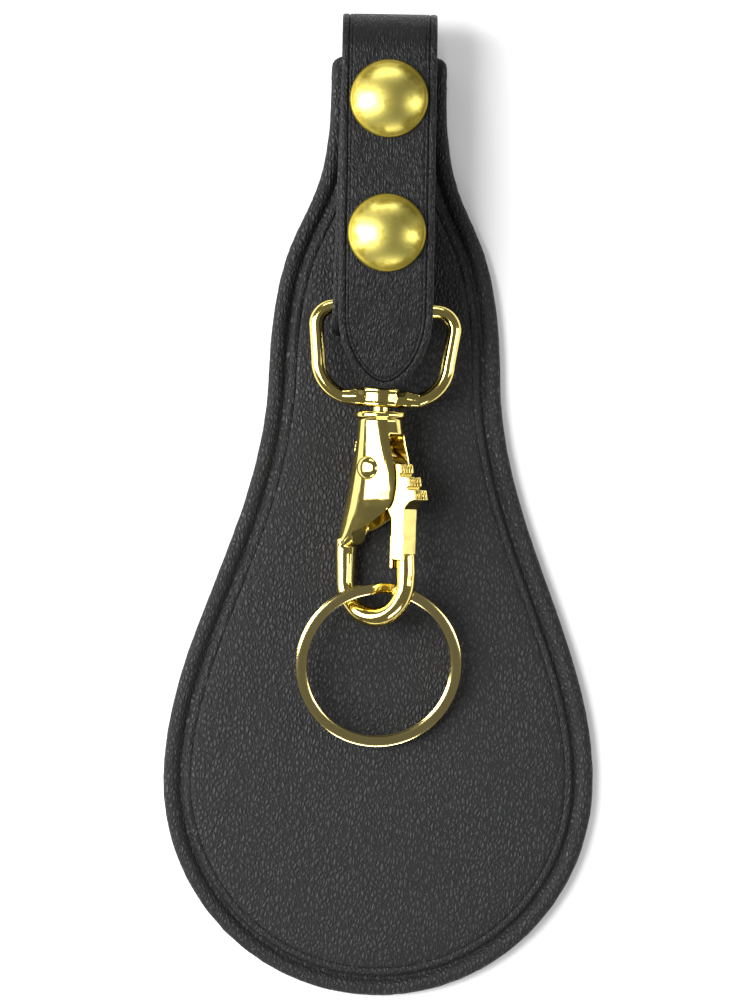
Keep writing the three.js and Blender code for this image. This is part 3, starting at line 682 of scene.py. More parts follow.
    def slab(self, corners: Sequence[tuple[float, float]], low: float, high: float) -> "Workpiece":
        """Raise a drawn polygon into a slab.

        Args:
            corners: x and y of each corner.
            low: bottom height.
            high: top height.

        Returns:
            This workpiece.
        """
        points = [self.bm.verts.new((x, y, low)) for x, y in corners]
        base = self.bm.faces.new(points)
        base.normal_update()
        self.raise_face(base, high - low, keep=True)
        self.close_up()
        return self

    def close_up(self, distance: float = 1e-4) -> None:
        """Merge doubles and point every face outwards."""
        bmesh.ops.remove_doubles(self.bm, verts=self.bm.verts[:], dist=distance)
        bmesh.ops.recalc_face_normals(self.bm, faces=self.bm.faces[:])

    def move(self, matrix: Matrix) -> "Workpiece":
        """Move everything by a matrix and return this workpiece."""
        bmesh.ops.transform(self.bm, matrix=matrix, verts=self.bm.verts[:])
        if matrix.determinant() < 0:
            bmesh.ops.reverse_faces(self.bm, faces=self.bm.faces[:])
        return self

    def soften(self, width: float, segments: int = 2, sharper_than: float = 28.0) -> "Workpiece":
        """Round every sharp edge.

        Args:
            width: size of the rounding.
            segments: its steps.
            sharper_than: the angle above which an edge is rounded, in degrees.

        Returns:
            This workpiece.
        """
        limit = math.radians(sharper_than)
        edges = [edge for edge in self.bm.edges if edge.calc_face_angle(0) > limit]
        bmesh.ops.bevel(self.bm, geom=edges, offset=width, offset_type="OFFSET",
                        segments=segments, profile=0.5, affect="EDGES", material=-1,
                        clamp_overlap=True)
        return self

    def slice(self, faces: Iterable[bmesh.types.BMFace] | None, normal: Vector,
              places: Iterable[float]) -> "Workpiece":
        """Cut faces across at a row of places.

        Args:
            faces: faces to cut, or None for all.
            normal: direction the places are measured in.
            places: how far along it each cut is.

        Returns:
            This workpiece.
        """
        inside = list(faces) if faces is not None else None
        for place in places:
            if inside is None:
                geom = [*self.bm.verts, *self.bm.edges, *self.bm.faces]
            else:
                inside = [face for face in inside if face.is_valid]
                geom = [*inside, *dict.fromkeys(edge for face in inside for edge in face.edges),
                        *dict.fromkeys(vert for face in inside for vert in face.verts)]
            before = set(self.bm.faces) if inside is not None else set()
            bmesh.ops.bisect_plane(self.bm, geom=geom, dist=1e-5, plane_co=normal * place,
                                   plane_no=normal)
            if inside is not None:
                inside += [face for face in self.bm.faces if face not in before]
        return self

    def carve(self, *cutters: "Workpiece") -> "Workpiece":
        """Take other workpieces out of this one and return this one."""
        for cutter in cutters:
            self._combine("DIFFERENCE", cutter)
        return self

    def keep_within(self, other: "Workpiece") -> "Workpiece":
        """Keep only what lies inside another workpiece and return this one."""
        self._combine("INTERSECT", other)
        return self

    def cast(self, grid: float, smoothing: int) -> "Workpiece":
        """Melt everything into one casting with softly rounded edges.

        Args:
            grid: size of its facets.
            smoothing: how many times it is smoothed.

        Returns:
            This workpiece.
        """
        body = self._loose_object("body")
        melt = body.modifiers.new("melt", "REMESH")
        melt.mode = "VOXEL"
        melt.voxel_size = grid
        self._take_back(body)
        for _ in range(smoothing):
            bmesh.ops.smooth_vert(self.bm, verts=self.bm.verts[:], factor=0.5,
                                  use_axis_x=True, use_axis_y=True, use_axis_z=True)
        return self

    def _combine(self, operation: str, other: "Workpiece") -> None:
        """Cut or cross this workpiece with another.

        Args:
            operation: what the Boolean modifier does.
            other: the other workpiece.
        """
        body = self._loose_object("body")
        tool = other._loose_object("tool")
        boolean = body.modifiers.new("combine", "BOOLEAN")
        boolean.operation = operation
        boolean.solver = "EXACT"
        boolean.object = tool
        self._take_back(body)
        bpy.data.objects.remove(tool)

    def _loose_object(self, name: str) -> bpy.types.Object:
        """Return the mesh as an object for a modifier to work on."""
        mesh = bpy.data.meshes.new(name)
        self.bm.to_mesh(mesh)
        made = bpy.data.objects.new(name, mesh)
        bpy.context.scene.collection.objects.link(made)
        return made

    def _take_back(self, body: bpy.types.Object) -> None:
        """Read a loose object back with its modifiers applied, and remove it."""
        bpy.context.view_layer.update()
        shaped = body.evaluated_get(bpy.context.evaluated_depsgraph_get())
        mesh = bpy.data.meshes.new_from_object(shaped)
        self.bm.clear()
        self.bm.from_mesh(mesh)
        bpy.data.meshes.remove(mesh)
        bpy.data.objects.remove(body)

    def mark(self, name: str, measure: Callable[[Vector], float]) -> "Workpiece":
        """Keep a number on every vertex for the finish to read.

        Args:
            name: the attribute's name.
            measure: gives the number for a vertex's place, in millimetres.

        Returns:
            This workpiece.
        """
        layer = self.bm.verts.layers.float.new(name)
        for vert in self.bm.verts:
            vert[layer] = measure(vert.co)
        return self

    def finish(
        self,
        name: str,
        finish: LeatherFinish | BrassFinish,
        slot: Slot,
        body: Body | None,
        stands_for: Sequence[str],
        sharp: float = 40.0,
    ) -> bpy.types.Object:
        """Turn the workpiece into a finished piece of the holder.

        Args:
            name: the piece's name.
            finish: its finish.
            slot: the record's slot for it; not used.
            body: the body it rides on, or None if it rides on none.
            stands_for: the CAD nodes it stands for.
            sharp: the angle above which an edge shades sharp, in degrees.

        Returns:
            The new object.
        """
        self.move(Matrix.Scale(MM, 4))
        mesh = bpy.data.meshes.new(name)
        self.bm.to_mesh(mesh)
        self.bm.free()
        mesh.polygons.foreach_set("use_smooth", [True] * len(mesh.polygons))
        mesh.set_sharp_from_angle(angle=math.radians(sharp))
        mesh.materials.append(WARDROBE.get(finish))
        piece = bpy.data.objects.new(name, mesh)
        bpy.context.scene.collection.objects.link(piece)
        if body is not None:
            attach(piece, body.value)
        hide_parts(*stands_for)
        log.info("%s: %d faces for %s", name, len(mesh.polygons), ", ".join(stands_for))
        return piece


def joint_place(name: str) -> Vector:
    """Return where a joint's axis is, in millimetres."""
    found = next(joint for joint in frame["joints"] if joint["name"] == name)
    return Vector(found["pos_m"]) / MM


def rod(radius: float, low: float, high: float, sides: int) -> Workpiece:
    """Return a round rod on the z axis, to build or to drill with.

    Args:
        radius: its radius, in millimetres.
        low: its lower end.
        high: its upper end.
        sides: how many sides it has.

    Returns:
        The rod.
    """
    return Workpiece().spin_profile([(0, low), (radius, low), (radius, high), (0, high)], sides)


def shift_y(distance: float) -> Matrix:
    """Return a move along y."""
    return Matrix.Translation((0, distance, 0))


def stand_along_y(turns: int = 1) -> Matrix:
    """Return the turn that lays a shape's z axis along y: 1 for -y, -1 for +y."""
    return Matrix.Rotation(turns * QUARTER, 4, "X")


def turn_fastener(name: str, node: str, profile: Profile, rounding: float, y: float,
                  body: Body) -> None:
    """Turn one plain brass part of a snap or rivet.

    Args:
        name: the piece's name.
        node: the CAD node it stands for.
        profile: radius and height of each corner.
        rounding: size of its rounded edges.
        y: where its axis is.
        body: the body it rides on.
    """
    part = Workpiece().spin_profile(profile, 56).soften(rounding).move(shift_y(y))
    part.finish(name, FASTENER, Slot.SATIN, body, [node])


# ---- The paddle -------------------------------------------------------------------------------


@dataclass
class Paddle:
    """The pear-shaped leather paddle with its embossed border."""

    lobe: float = 41.78
    allowance: float = 0.12
    waist: float = 22.5
    waist_y: float = 27.0
    neck: float = 11.2
    neck_straight: float = 6.1
    corner: float = 2.2
    grid: float = 1.6
    wall: tuple[float, ...] = (0.55, 0.6, 0.6, 0.55)
    raw_edge: tuple[float, float] = (0.5, 2.4)
    back_round: Profile = ((0.25, 0.25), (0.7, 0.0))
    rub: tuple[float, float] = (-15.4, 35.6)
    rub_size: tuple[float, float] = (3.4, 5.6)
    rub_depth: float = 0.4
    sag: float = 0.06
    rivet_seat: Profile = ((0, -1), (4.15, -1), (4.15, 0.62), (1.75, 0.62), (1.75, 4), (0, 4))
    relief: Profile = (
        (0.16, 2.62), (0.45, 2.93), (0.85, 3.08), (1.5, 3.14), (2.1, 3.06), (2.6, 2.8),
        (2.95, 2.4), (3.2, 2.18), (3.55, 2.16), (3.8, 2.32), (4.05, 2.76), (4.25, 2.92),
        (4.5, 2.95), (5.2, 2.97), (5.35, 2.82), (5.5, 2.98), (6.2, 3.04), (7.5, 3.09),
        (9.0, 3.12))

    @cached_property
    def bottom(self) -> float:
        """Return the outline's lowest place."""
        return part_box("paddle")[0].y / MM

    @cached_property
    def top(self) -> float:
        """Return the outline's highest place."""
        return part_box("paddle")[1].y / MM

    def _anchors(self) -> list[tuple]:
        """Return the outline's points with their handles, all the way round."""
        bottom, top = self.bottom + self.allowance, self.top
        lobe_y = bottom + self.lobe
        neck_y = top - self.neck_straight
        flank = self.waist_y - lobe_y
        ogee = neck_y - self.waist_y
        bow = ARC_HANDLE * self.lobe
        bend = ARC_HANDLE * self.corner
        right = [
            ((self.lobe, lobe_y), (self.lobe, lobe_y - bow), (self.lobe, lobe_y + 0.34 * flank)),
            ((self.waist, self.waist_y), (self.waist, lobe_y + 0.62 * flank),
             (self.waist - 1.4, self.waist_y + 0.63 * ogee)),
            ((self.neck, neck_y), (self.neck, self.waist_y + 0.45 * ogee),
             (self.neck, neck_y + 1)),
            ((self.neck, top - self.corner), (self.neck, top - self.corner - 1),
             (self.neck, top - self.corner + bend)),
            ((self.neck - self.corner, top), (self.neck - self.corner + bend, top),
             (self.neck - self.corner - 3, top)),
        ]
        foot = ((0, bottom), (-bow, bottom), (bow, bottom))
        return [foot, *mirrored(right)]

    def _edge_wander(self, co: Vector) -> Vector:
        """Return how far a raw edge wanders at a place."""
        rough = noise.noise_vector(Vector((co.x, co.y, co.z * 2)) * 0.9)
        fuzz = noise.noise_vector(Vector((co.x, co.y, co.z)) * 3.1)
        return Vector((rough.x, rough.y, 0)) * 0.10 + Vector((fuzz.x, fuzz.y, 0)) * 0.07

    def _limit(self, place: Vector, inset: float) -> Vector:
        """Keep a border line inside the neck's corners."""
        if place.y > self.top - self.neck_straight:
            side = self.neck - inset
            place.x = min(max(place.x, -side), side)
            place.y = min(place.y, self.top - inset)
        return place

    def _dent(self, co: Vector) -> float:
        """Return how much the D ring's rub mark beside the strap shows at a place."""
        across = (co.x - self.rub[0]) / self.rub_size[0]
        along = (co.y - self.rub[1]) / self.rub_size[1]
        return math.exp(-(across ** 2 + along ** 2) ** 1.5)

    def build(self) -> None:
        """Make the paddle."""
        work = Workpiece()
        bm = work.bm
        face = work.outline(self._anchors(), 46)[0]
        work.remember_home(face)
        foot, first, *lifts = self.wall
        bmesh.ops.translate(bm, vec=(0, 0, foot), verts=bm.verts[:])
        front = work.raise_face(face, first, keep=True)
        face.normal_flip()
        work.terrace(face, self.back_round, self._limit)
        for lift in lifts:
            front = work.raise_face(front, lift)
        low, high = self.raw_edge
        for vert in [v for v in bm.verts if low < v.co.z < high]:
            vert.co += self._edge_wander(vert.co)
        front = work.terrace(front, self.relief, self._limit)
        work.close_up(0.02)
        front = max((f for f in bm.faces if f.normal.z > 0.99), key=lambda f: f.calc_area())
        reach = 40
        rows = [self.bottom + self.grid * i
                for i in range(1, int((self.top - self.bottom) / self.grid))]
        columns = [-reach + self.grid * i for i in range(int(2 * reach / self.grid) + 1)]
        work.slice([front], AXIS_Y, rows)
        flat = [f for f in bm.faces if f.normal.z > 0.99 and f.calc_center_median().z > high]
        work.slice(flat, AXIS_X, columns)
        for vert in bm.verts:
            if vert.co.z < 2:
                continue
            swell = noise.noise(Vector((vert.co.x, vert.co.y, 0)) * 0.045)
            vert.co.z -= self.sag * (1 + swell) + self.rub_depth * self._dent(vert.co)
        work.mark("burnish", lambda co: self._dent(co) if co.z > 1.8 else 0.0)
        work.carve(*[Workpiece().spin_profile(self.rivet_seat, 40).move(shift_y(y))
                     for y in RIVETS_Y.values()])
        work.finish("leather_paddle", PEBBLED, Slot.PEBBLED, Body.HOLDER, ["paddle"], 55)


# ---- The strap --------------------------------------------------------------------------------


@dataclass(frozen=True)
class Stretch:
    """One stretch of a strap's way: straight, or turning with its outside on the left."""

    length: float
    radius: float | None = None


@dataclass
class Way:
    """The line a strap's middle follows, seen from the side, in y and z."""

    start: tuple[float, float]
    heading: float
    stretches: list[Stretch]

    @property
    def length(self) -> float:
        """Return the whole length."""
        return sum(stretch.length for stretch in self.stretches)

    def at(self, distance: float) -> tuple[Vector, Vector]:
        """Find a place on the way.

        Args:
            distance: how far along it is.

        Returns:
            The place and the outward direction there, as vectors with x = 0.
        """
        y, z = self.start
        heading = self.heading
        left = distance
        for i, stretch in enumerate(self.stretches):
            last = i == len(self.stretches) - 1
            step = left if last else min(left, stretch.length)
            if stretch.radius is None:
                y += step * math.cos(heading)
                z += step * math.sin(heading)
            else:
                middle_y = y + math.sin(heading) * stretch.radius
                middle_z = z - math.cos(heading) * stretch.radius
                heading -= step / stretch.radius
                y = middle_y - math.sin(heading) * stretch.radius
                z = middle_z + math.cos(heading) * stretch.radius
            left -= step
            if left <= 0:
                break
        return Vector((0, y, z)), Vector((0, -math.sin(heading), math.cos(heading)))


@dataclass
class Strap:
    """The keeper strap, cut flat from leather and then bent round."""

    width: float = 18.2
    thick: float = 2.2
    top_fold: tuple[float, float] = (87.04, 11.5)
    bottom_fold: tuple[float, float] = (38.3, 8.9)
    tip_y: float = 22.9
    tip_length: float = 15.0
    droop: float = math.radians(8.6)
    droop_rise: float = 20.5
    droop_bend: float = 20.0
    flap_z: float = 18.4
    back_z: float = 4.6
    inner_end: float = 86.8
    slice: float = 1.0
    crumple: float = 0.07
    lean: float = 1.15
    lean_z: tuple[float, float] = (5.7, 6.0)
    lean_run: float = 49.0
    bend_lean: float = 0.2
    bend_rise: float = 13.8
    end_round: float = 5.0
    top_radius: float = 8.0
    bottom_radius: float = 5.4
    back_edge: Profile = ((0.2, 0.08), (0.6, 0.0), (1.0, 0.0))
    crease: Profile = (
        (0.1, -0.19), (0.3, -0.06), (0.65, 0.0), (0.95, 0.0), (1.23, -0.04), (1.37, -0.3),
        (1.51, -0.06), (1.73, 0.0), (1.91, 0.0), (2.03, -0.12), (2.15, 0.0), (2.5, 0.0),
        (2.9, 0.0))

    @property
    def half(self) -> float:
        """Return half the width."""
        return self.width / 2

    def _flap_way(self) -> Way:
        """Return the way of the flap and the top fold, from the tip."""
        radius = self.top_radius - self.thick / 2
        bend = self.droop_bend
        rise = self.droop_rise
        low = self.flap_z - rise * math.sin(self.droop) - bend * (1 - math.cos(self.droop))
        reach = rise * math.cos(self.droop) + bend * math.sin(self.droop)
        return Way((self.tip_y, low), self.droop, [
            Stretch(rise),
            Stretch(bend * self.droop, bend),
            Stretch(self.top_fold[0] - self.tip_y - reach),
            Stretch(math.pi * radius, radius),
        ])

    def _back_way(self) -> Way:
        """Return the way of the back run, the bottom fold and the inner run."""
        radius = self.bottom_radius - self.thick / 2
        return Way((self.top_fold[0], self.back_z), -math.pi, [
            Stretch(self.top_fold[0] - self.bottom_fold[0]),
            Stretch(math.pi * radius, radius),
            Stretch(self.inner_end - self.bottom_fold[0]),
        ])

    def _blank(self, way: Way, anchors: list[tuple], lean: Callable[[Vector], float],
               holes: Sequence[tuple[float, float]]) -> Workpiece:
        """Cut the flat blank, crease its edge and bend it along its way.

        Args:
            way: the way it follows.
            anchors: its outline, with the length along y.
            lean: sideways shift for a bent place.
            holes: distance along and radius of each hole.

        Returns:
            The bent blank.
        """
        work = Workpiece()
        bm = work.bm
        base = work.outline(anchors, 20)[0]
        work.remember_home(base)
        half = self.thick / 2
        bmesh.ops.translate(bm, vec=(0, 0, 0.2 - half), verts=bm.verts[:])
        top = work.raise_face(base, self.thick - 0.55, keep=True)
        base.normal_flip()
        work.terrace(base, [(inset, height - half) for inset, height in self.back_edge])
        work.terrace(top, [(inset, half + height) for inset, height in self.crease])
        layout = bm.loops.layers.uv.new("layout")
        for face in bm.faces:
            for loop in face.loops:
                loop[layout].uv = (loop.vert.co.x * MM, loop.vert.co.y * MM)
        count = int(way.length / self.slice)
        work.slice(None, AXIS_Y, [way.length * i / count for i in range(1, count)])
        work.slice(None, AXIS_X, [-4.0, -1.4, 1.4, 4.0])
        work.close_up(1e-3)
        if holes:
            work.carve(*[rod(radius, -4, 4, 32).move(shift_y(place)) for place, radius in holes])
        for vert in work.bm.verts:
            place, outward = way.at(vert.co.y)
            wave = noise.noise(Vector((vert.co.x * 0.12, vert.co.y * 0.12, 3.0)))
            bent = place + outward * (vert.co.z + wave * self.crumple)
            vert.co = Vector((vert.co.x + lean(bent), bent.y, bent.z))
        work.close_up(1e-3)
        work.mark("burnish", lambda co: 0.0)
        return work

    def _bend_line(self) -> tuple[Vector, Vector]:
        """Return a line that rises from the back run at the top fold and leans back."""
        low = Vector((0, self.top_fold[0], self.back_z)) * MM
        lean = Vector((0, -self.bend_lean, 1.0))
        return low, low + lean.normalized() * (self.bend_rise * MM / lean.length)

    def _flap_anchors(self, length: float) -> list[tuple]:
        """Return the outline of the flap with its ogive tip."""
        tip = self.tip_length
        right = [
            ((self.half, tip), (self.half, tip - 0.62 * tip), (self.half, tip + 8)),
            ((self.half, length), (self.half, length - 8), (self.half - 4, length)),
        ]
        point = ((0, 0), (-0.42 * self.half, 0), (0.42 * self.half, 0))
        return [point, *mirrored(right)]

    def _back_anchors(self, length: float) -> list[tuple]:
        """Return the outline of the back and inner runs, square at the start, round at the end."""
        turn = self.end_round
        bend = ARC_HANDLE * turn
        return mirrored([
            ((self.half, 0), (self.half - 4, 0), (self.half, 8)),
            ((self.half, length - turn), (self.half, length - turn - 8),
             (self.half, length - turn + bend)),
            ((self.half - turn, length), (self.half - turn + bend, length),
             (self.half - turn - 2, length)),
        ])

    def _lean(self, bent: Vector) -> float:
        """Return how far the inner run and the bottom fold sit to the left of the flap."""
        low, over = self.lean_z
        front = min(max((bent.z - low) / over, 0.0), 1.0)
        down = min(max((self.top_fold[0] - bent.y) / self.lean_run, 0.0), 1.0)
        return -self.lean * front * down

    def build(self) -> None:
        """Make both lengths of the strap."""
        flap_way = self._flap_way()
        droop_slack = 0.23
        posts = [(y - self.tip_y + droop_slack, 2.1) for y in SNAPS_Y.values()]
        flap = self._blank(flap_way, self._flap_anchors(flap_way.length), lambda bent: 0.0, posts)
        piece = flap.finish("strap_flap_and_fold", CREASED, Slot.STRAP, None,
                            ["strap_flap", "strap_top_fold"], 55)
        start, end = self._bend_line()
        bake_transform(piece)
        back_way = self._back_way()
        start = self.top_fold[0]
        rivets = [(start - y, 1.8) for y in RIVETS_Y.values()]
        turned = (start - self.bottom_fold[0]) + math.pi * (self.bottom_radius - self.thick / 2)
        eyelets = [(turned + y - self.bottom_fold[0], 1.7) for y in SNAPS_Y.values()]
        back = self._blank(back_way, self._back_anchors(back_way.length), self._lean,
                           [*rivets, *eyelets])
        back.finish("strap_back_and_inner_run", CREASED, Slot.STRAP, Body.HOLDER,
                    ["keeper_strap"], 55)


# ---- Snaps and rivets -------------------------------------------------------------------------


@dataclass
class Snap:
    """One snap fastener: cap, socket, stud and eyelet."""

    place: str
    cap: float = 7.5
    cap_top: float = 22.58
    roll: float = 0.75
    rise: float = 2.15
    rings: int = 14
    rolled_rim: Profile = ((0.12, 0.03), (0.3, 0.04), (0.52, 0.14), (0.68, 0.33), (0.75, 0.58),
                           (0.69, 0.8))
    underside: Profile = ((7.25, 19.5), (6.9, 19.52), (1.8, 19.75), (1.8, 16.7), (0, 16.7))
    socket: Profile = ((2.8, 15.45), (5.0, 15.42), (5.6, 15.6), (5.45, 16.3), (5.0, 17.0),
                       (2.1, 17.0), (2.1, 16.62), (2.8, 16.6))
    stud: Profile = ((1.7, 14.58), (4.8, 14.58), (4.8, 14.85), (4.5, 15.06), (2.35, 15.08),
                     (2.25, 15.4), (2.5, 15.85), (2.2, 16.26), (1.7, 16.3))
    eyelet: Profile = ((0, 11.32), (3.9, 11.32), (4.2, 11.5), (4.1, 11.8), (1.4, 11.8),
                       (1.4, 15.9), (1.2, 16.0), (0, 16.0))

    def _cap_profile(self) -> list[tuple[float, float]]:
        """Return the domed cap's profile with its rolled rim and post."""
        shoulder = self.cap - self.roll
        ball = (shoulder ** 2 + self.rise ** 2) / (2 * self.rise)
        dome = []
        for i in range(self.rings + 1):
            radius = shoulder * i / self.rings
            dome.append((radius, self.cap_top - ball + math.sqrt(ball ** 2 - radius ** 2)))
        edge = dome[-1][1]
        rim = [(shoulder + out, edge - down) for out, down in self.rolled_rim]
        return [*dome, *rim, *self.underside]

    def build(self) -> None:
        """Make the four pieces."""
        y = SNAPS_Y[self.place]
        cap = Workpiece().spin_profile(self._cap_profile(), 96)
        # The rim mark is each point's share of the cap's radius; the satin finish paints shade
        # from it, darker towards the rim.
        cap.mark("rim", lambda co: math.hypot(co.x, co.y) / self.cap)
        cap.move(shift_y(y)).finish(f"snap_dome_{self.place}", SATIN, Slot.SATIN, Body.FLAP,
                                    [f"snap_cap_{self.place}"], 60)
        for kind, profile, body in (("socket", self.socket, Body.FLAP),
                                    ("stud", self.stud, Body.HOLDER),
                                    ("eyelet", self.eyelet, Body.HOLDER)):
            turn_fastener(f"snap_{kind}_turned_{self.place}", f"snap_{kind}_{self.place}",
                          profile, 0.08, y, body)


@dataclass
class Rivet:
    """One double-cap rivet through the strap and the paddle."""

    place: str
    post: Profile = ((0, 0.04), (3.2, 0.06), (3.75, 0.16), (4.0, 0.42), (3.9, 0.55), (1.5, 0.55),
                     (1.5, 6.3), (0, 6.4))
    cap: Profile = ((1.66, 5.98), (3.2, 5.98), (3.4, 6.1), (3.15, 6.4), (2.6, 6.5), (1.66, 6.5))

    def build(self) -> None:
        """Make the post and the cap."""
        for kind, profile in (("post", self.post), ("cap", self.cap)):
            turn_fastener(f"rivet_{kind}_turned_{self.place}", f"rivet_{kind}_{self.place}",
                          profile, 0.06, RIVETS_Y[self.place], Body.HOLDER)


# ---- The D ring -------------------------------------------------------------------------------


@dataclass
class DRing:
    """The cast D ring with the swivel's boss in its foot."""

    wire: float = 1.45
    top_half: float = 13.3
    foot_half: float = 12.5
    height: float = 17.6
    top_corner: float = 3.6
    foot_corner: float = 7.4
    tilt: float = math.radians(2.6)
    boss_half_width: float = 4.0
    boss_half_depth: float = 3.1
    boss_height: float = 3.8
    bore: float = 1.95
    boss: Profile = ((0, -1.9), (0.8, -1.9), (0.98, -1.7), (1.0, -1.2), (0.94, -0.9), (0.94, 0.9),
                     (1.0, 1.2), (0.98, 1.75), (0.85, 1.9), (0, 1.9))
    shoulders: tuple[tuple[float, float, float], ...] = (
        (3.0, 1.85, 2.5), (5.0, 1.85, 2.5), (5.7, 1.6, 2.0), (7.6, 1.4, 1.4))
    shoulder_drop: float = 0.35

    def build(self) -> None:
        """Make the ring."""
        top = self.top_half - self.top_corner
        foot = self.foot_half - self.foot_corner
        deep = self.foot_corner - self.height
        size = (self.wire, self.wire)
        stations = [
            *arc_stations((top, -self.top_corner), self.top_corner, QUARTER, 0, 10, *size),
            *arc_stations((foot, deep), self.foot_corner, 0, -QUARTER, 16, *size),
            *arc_stations((-foot, deep), self.foot_corner, -QUARTER, -math.pi, 16, *size),
            *arc_stations((-top, -self.top_corner), self.top_corner, math.pi, QUARTER, 10, *size),
        ]
        ring = Workpiece().sweep(stations, 28, closed=True)
        boss_y = -(self.height + self.wire - self.boss_height / 2)
        drum = Workpiece().spin_profile(self.boss, 48)
        drum.move(shift_y(boss_y) @ stand_along_y(-1)
                  @ Matrix.Diagonal((self.boss_half_width, self.boss_half_depth, 1, 1)))
        ring.absorb(drum)
        for side in (-1, 1):
            ring.absorb(self._shoulder(side, boss_y))
        ring.cast(0.17, 2)
        ring.carve(rod(self.bore, -4, 4, 40).move(shift_y(boss_y) @ stand_along_y()))
        place = joint_place("d_ring_swing")
        ring.move(Matrix.Translation(place) @ Matrix.Rotation(-self.tilt, 4, "Z"))
        ring.finish("cast_d_ring", POLISHED, Slot.POLISHED, Body.D_RING, ["d_ring"])

    def _shoulder(self, side: int, boss_y: float) -> Workpiece:
        """Make one faceted shoulder between the wire and the boss.

        Args:
            side: -1 for left, 1 for right.
            boss_y: the boss's middle.

        Returns:
            The shoulder.
        """
        heading = 0 if side > 0 else math.pi
        half = self.boss_height / 2
        stations = [station((side * x, boss_y - (half - tall) * self.shoulder_drop, 0), heading,
                            tall, deep) for x, tall, deep in self.shoulders]
        return Workpiece().sweep(stations, 8, flats=0.25)


# ---- The trigger hook -------------------------------------------------------------------------


@dataclass
class TriggerHook:
    """The swivel trigger hook: post, cast body, pin, gate lever and spring."""

    turn: float = math.radians(34)
    barrel: float = 4.4
    pivot: float = 10.9
    bend_x: float = -0.55
    bend_y: float = -32.6
    bend: float = 7.05
    reach: float = 17.9
    slot_half: float = 2.6
    pin: float = 1.2
    pin_bore: float = 1.5
    post_bore: float = 1.9
    lever_half: float = 2.3
    hub: float = 2.9
    spring_pocket: float = 4.2
    spring_pocket_half: float = 2.05
    barrel_rows: tuple[tuple[float, float, float, float], ...] = (
        (1.2, -0.97, 0.97, 0.97), (1.9, -1.0, 1.0, 1.0), (4.0, -1.05, 1.08, 1.0),
        (6.1, -1.11, 1.18, 1.0), (8.5, -1.22, 1.36, 1.0), (10.9, -1.34, 1.52, 0.98),
        (13.0, -1.45, 1.6, 0.96), (15.1, -1.55, 1.62, 0.92), (17.0, -1.65, 1.58, 0.88),
        (18.4, -1.73, 1.5, 0.83), (20.2, -1.84, 1.08, 0.74), (22.2, -1.94, 0.46, 0.66),
        (24.2, -2.04, -0.3, 0.58), (26.1, -2.13, -1.27, 0.52), (27.4, -2.15, -1.3, 0.49))
    slot: Profile = ((-4.2, -4.4), (-4.2, -20), (-5.3, -30), (14, -30), (14, -4.4))
    lip: Profile = (
        (0, -0.02), (4.5, -0.02), (4.95, 0.12), (5.1, 0.45), (5.1, 0.95), (4.9, 1.2), (4.5, 1.4),
        (4.38, 1.75), (4.3, 2.2), (4.3, 3.1), (0, 3.1))
    post: Profile = (
        (0, 5.6), (1.7, 5.6), (2.2, 5.2), (2.2, 4.7), (1.6, 4.7), (1.6, -3.55), (2.2, -3.6),
        (2.2, -4.1), (1.8, -4.5), (0, -4.5))
    ridges: Profile = ((6.6, -11.0), (8.45, -13.5), (9.9, -15.9))
    grooves: tuple[float, ...] = (-1.35, -0.45, 0.45, 1.35)

    @property
    def frame(self) -> Matrix:
        """Return the hook's own frame, in millimetres: collar top at the origin, eye down -y."""
        place = Matrix.Translation(joint_place("hook_swivel"))
        return place @ Matrix.Rotation(-self.turn, 4, "Y")

    def build(self) -> None:
        """Make every piece of the hook."""
        self._build_body()
        self._build_post()
        self._build_pin()
        self._build_lever()
        self._build_spring()

    def _barrel(self) -> Workpiece:
        """Return the barrel that widens to its mouth and runs out into the back bar."""
        stations = []
        for depth, left, right, thick in self.barrel_rows:
            half = (right - left) / 2 * self.barrel
            middle = (right + left) / 2 * self.barrel
            stations.append(station((middle, -depth, 0), -QUARTER, half, thick * self.barrel))
        return Workpiece().sweep(stations, 48)

    def _eye(self) -> Workpiece:
        """Return the back bar, the bend and the nose."""
        left = self.bend_x - self.bend
        right = self.bend_x + self.bend
        stations = [
            station((left, -24.6, 0), -QUARTER, 1.85, 2.35),
            station((left, -28.5, 0), -QUARTER, 1.8, 2.2),
        ]
        stations += arc_stations(
            (self.bend_x, self.bend_y), self.bend, math.pi, 2 * math.pi, 30,
            lambda share: 1.7 + 0.35 * math.sin(math.pi * min(share * 1.1, 1)) ** 2, 2.05)
        stations += [
            station((right, self.bend_y + 1.6, 0), QUARTER, 1.85, 2.05),
            station((right - 0.05, self.bend_y + 6, 0), QUARTER, 1.65, 1.95),
        ]
        eye = Workpiece().sweep(stations, 32)
        gap = 0.3
        gate_sweep = rod(self.reach + gap, -6, 6, 220).move(shift_y(-self.pivot))
        gate_sweep.keep_within(Workpiece().slab([(0, 0), (30, 0), (30, -40), (0, -40)], -8, 8))
        return eye.carve(gate_sweep)

    def _build_body(self) -> None:
        """Make the cast body."""
        slot = Workpiece().slab(self.slot, -self.slot_half, self.slot_half)
        body = self._barrel().carve(slot)
        body.absorb(self._eye())
        body.absorb(Workpiece().spin_profile(self.lip, 64).move(stand_along_y()))
        body.cast(0.16, 2)
        body.carve(rod(self.post_bore, -1, 5.4, 32).move(stand_along_y()),
                   rod(self.pin_bore, -9, 9, 32).move(shift_y(-self.pivot)))
        body.move(self.frame)
        body.finish("cast_hook", POLISHED, Slot.POLISHED, Body.HOOK, ["hook_body"])

    def _build_post(self) -> None:
        """Make the swivel post."""
        post = Workpiece().spin_profile(self.post, 48).soften(0.08)
        post.move(self.frame @ stand_along_y())
        post.finish("swivel_post_turned", POLISHED, Slot.POLISHED, Body.HOOK, ["swivel_post"])

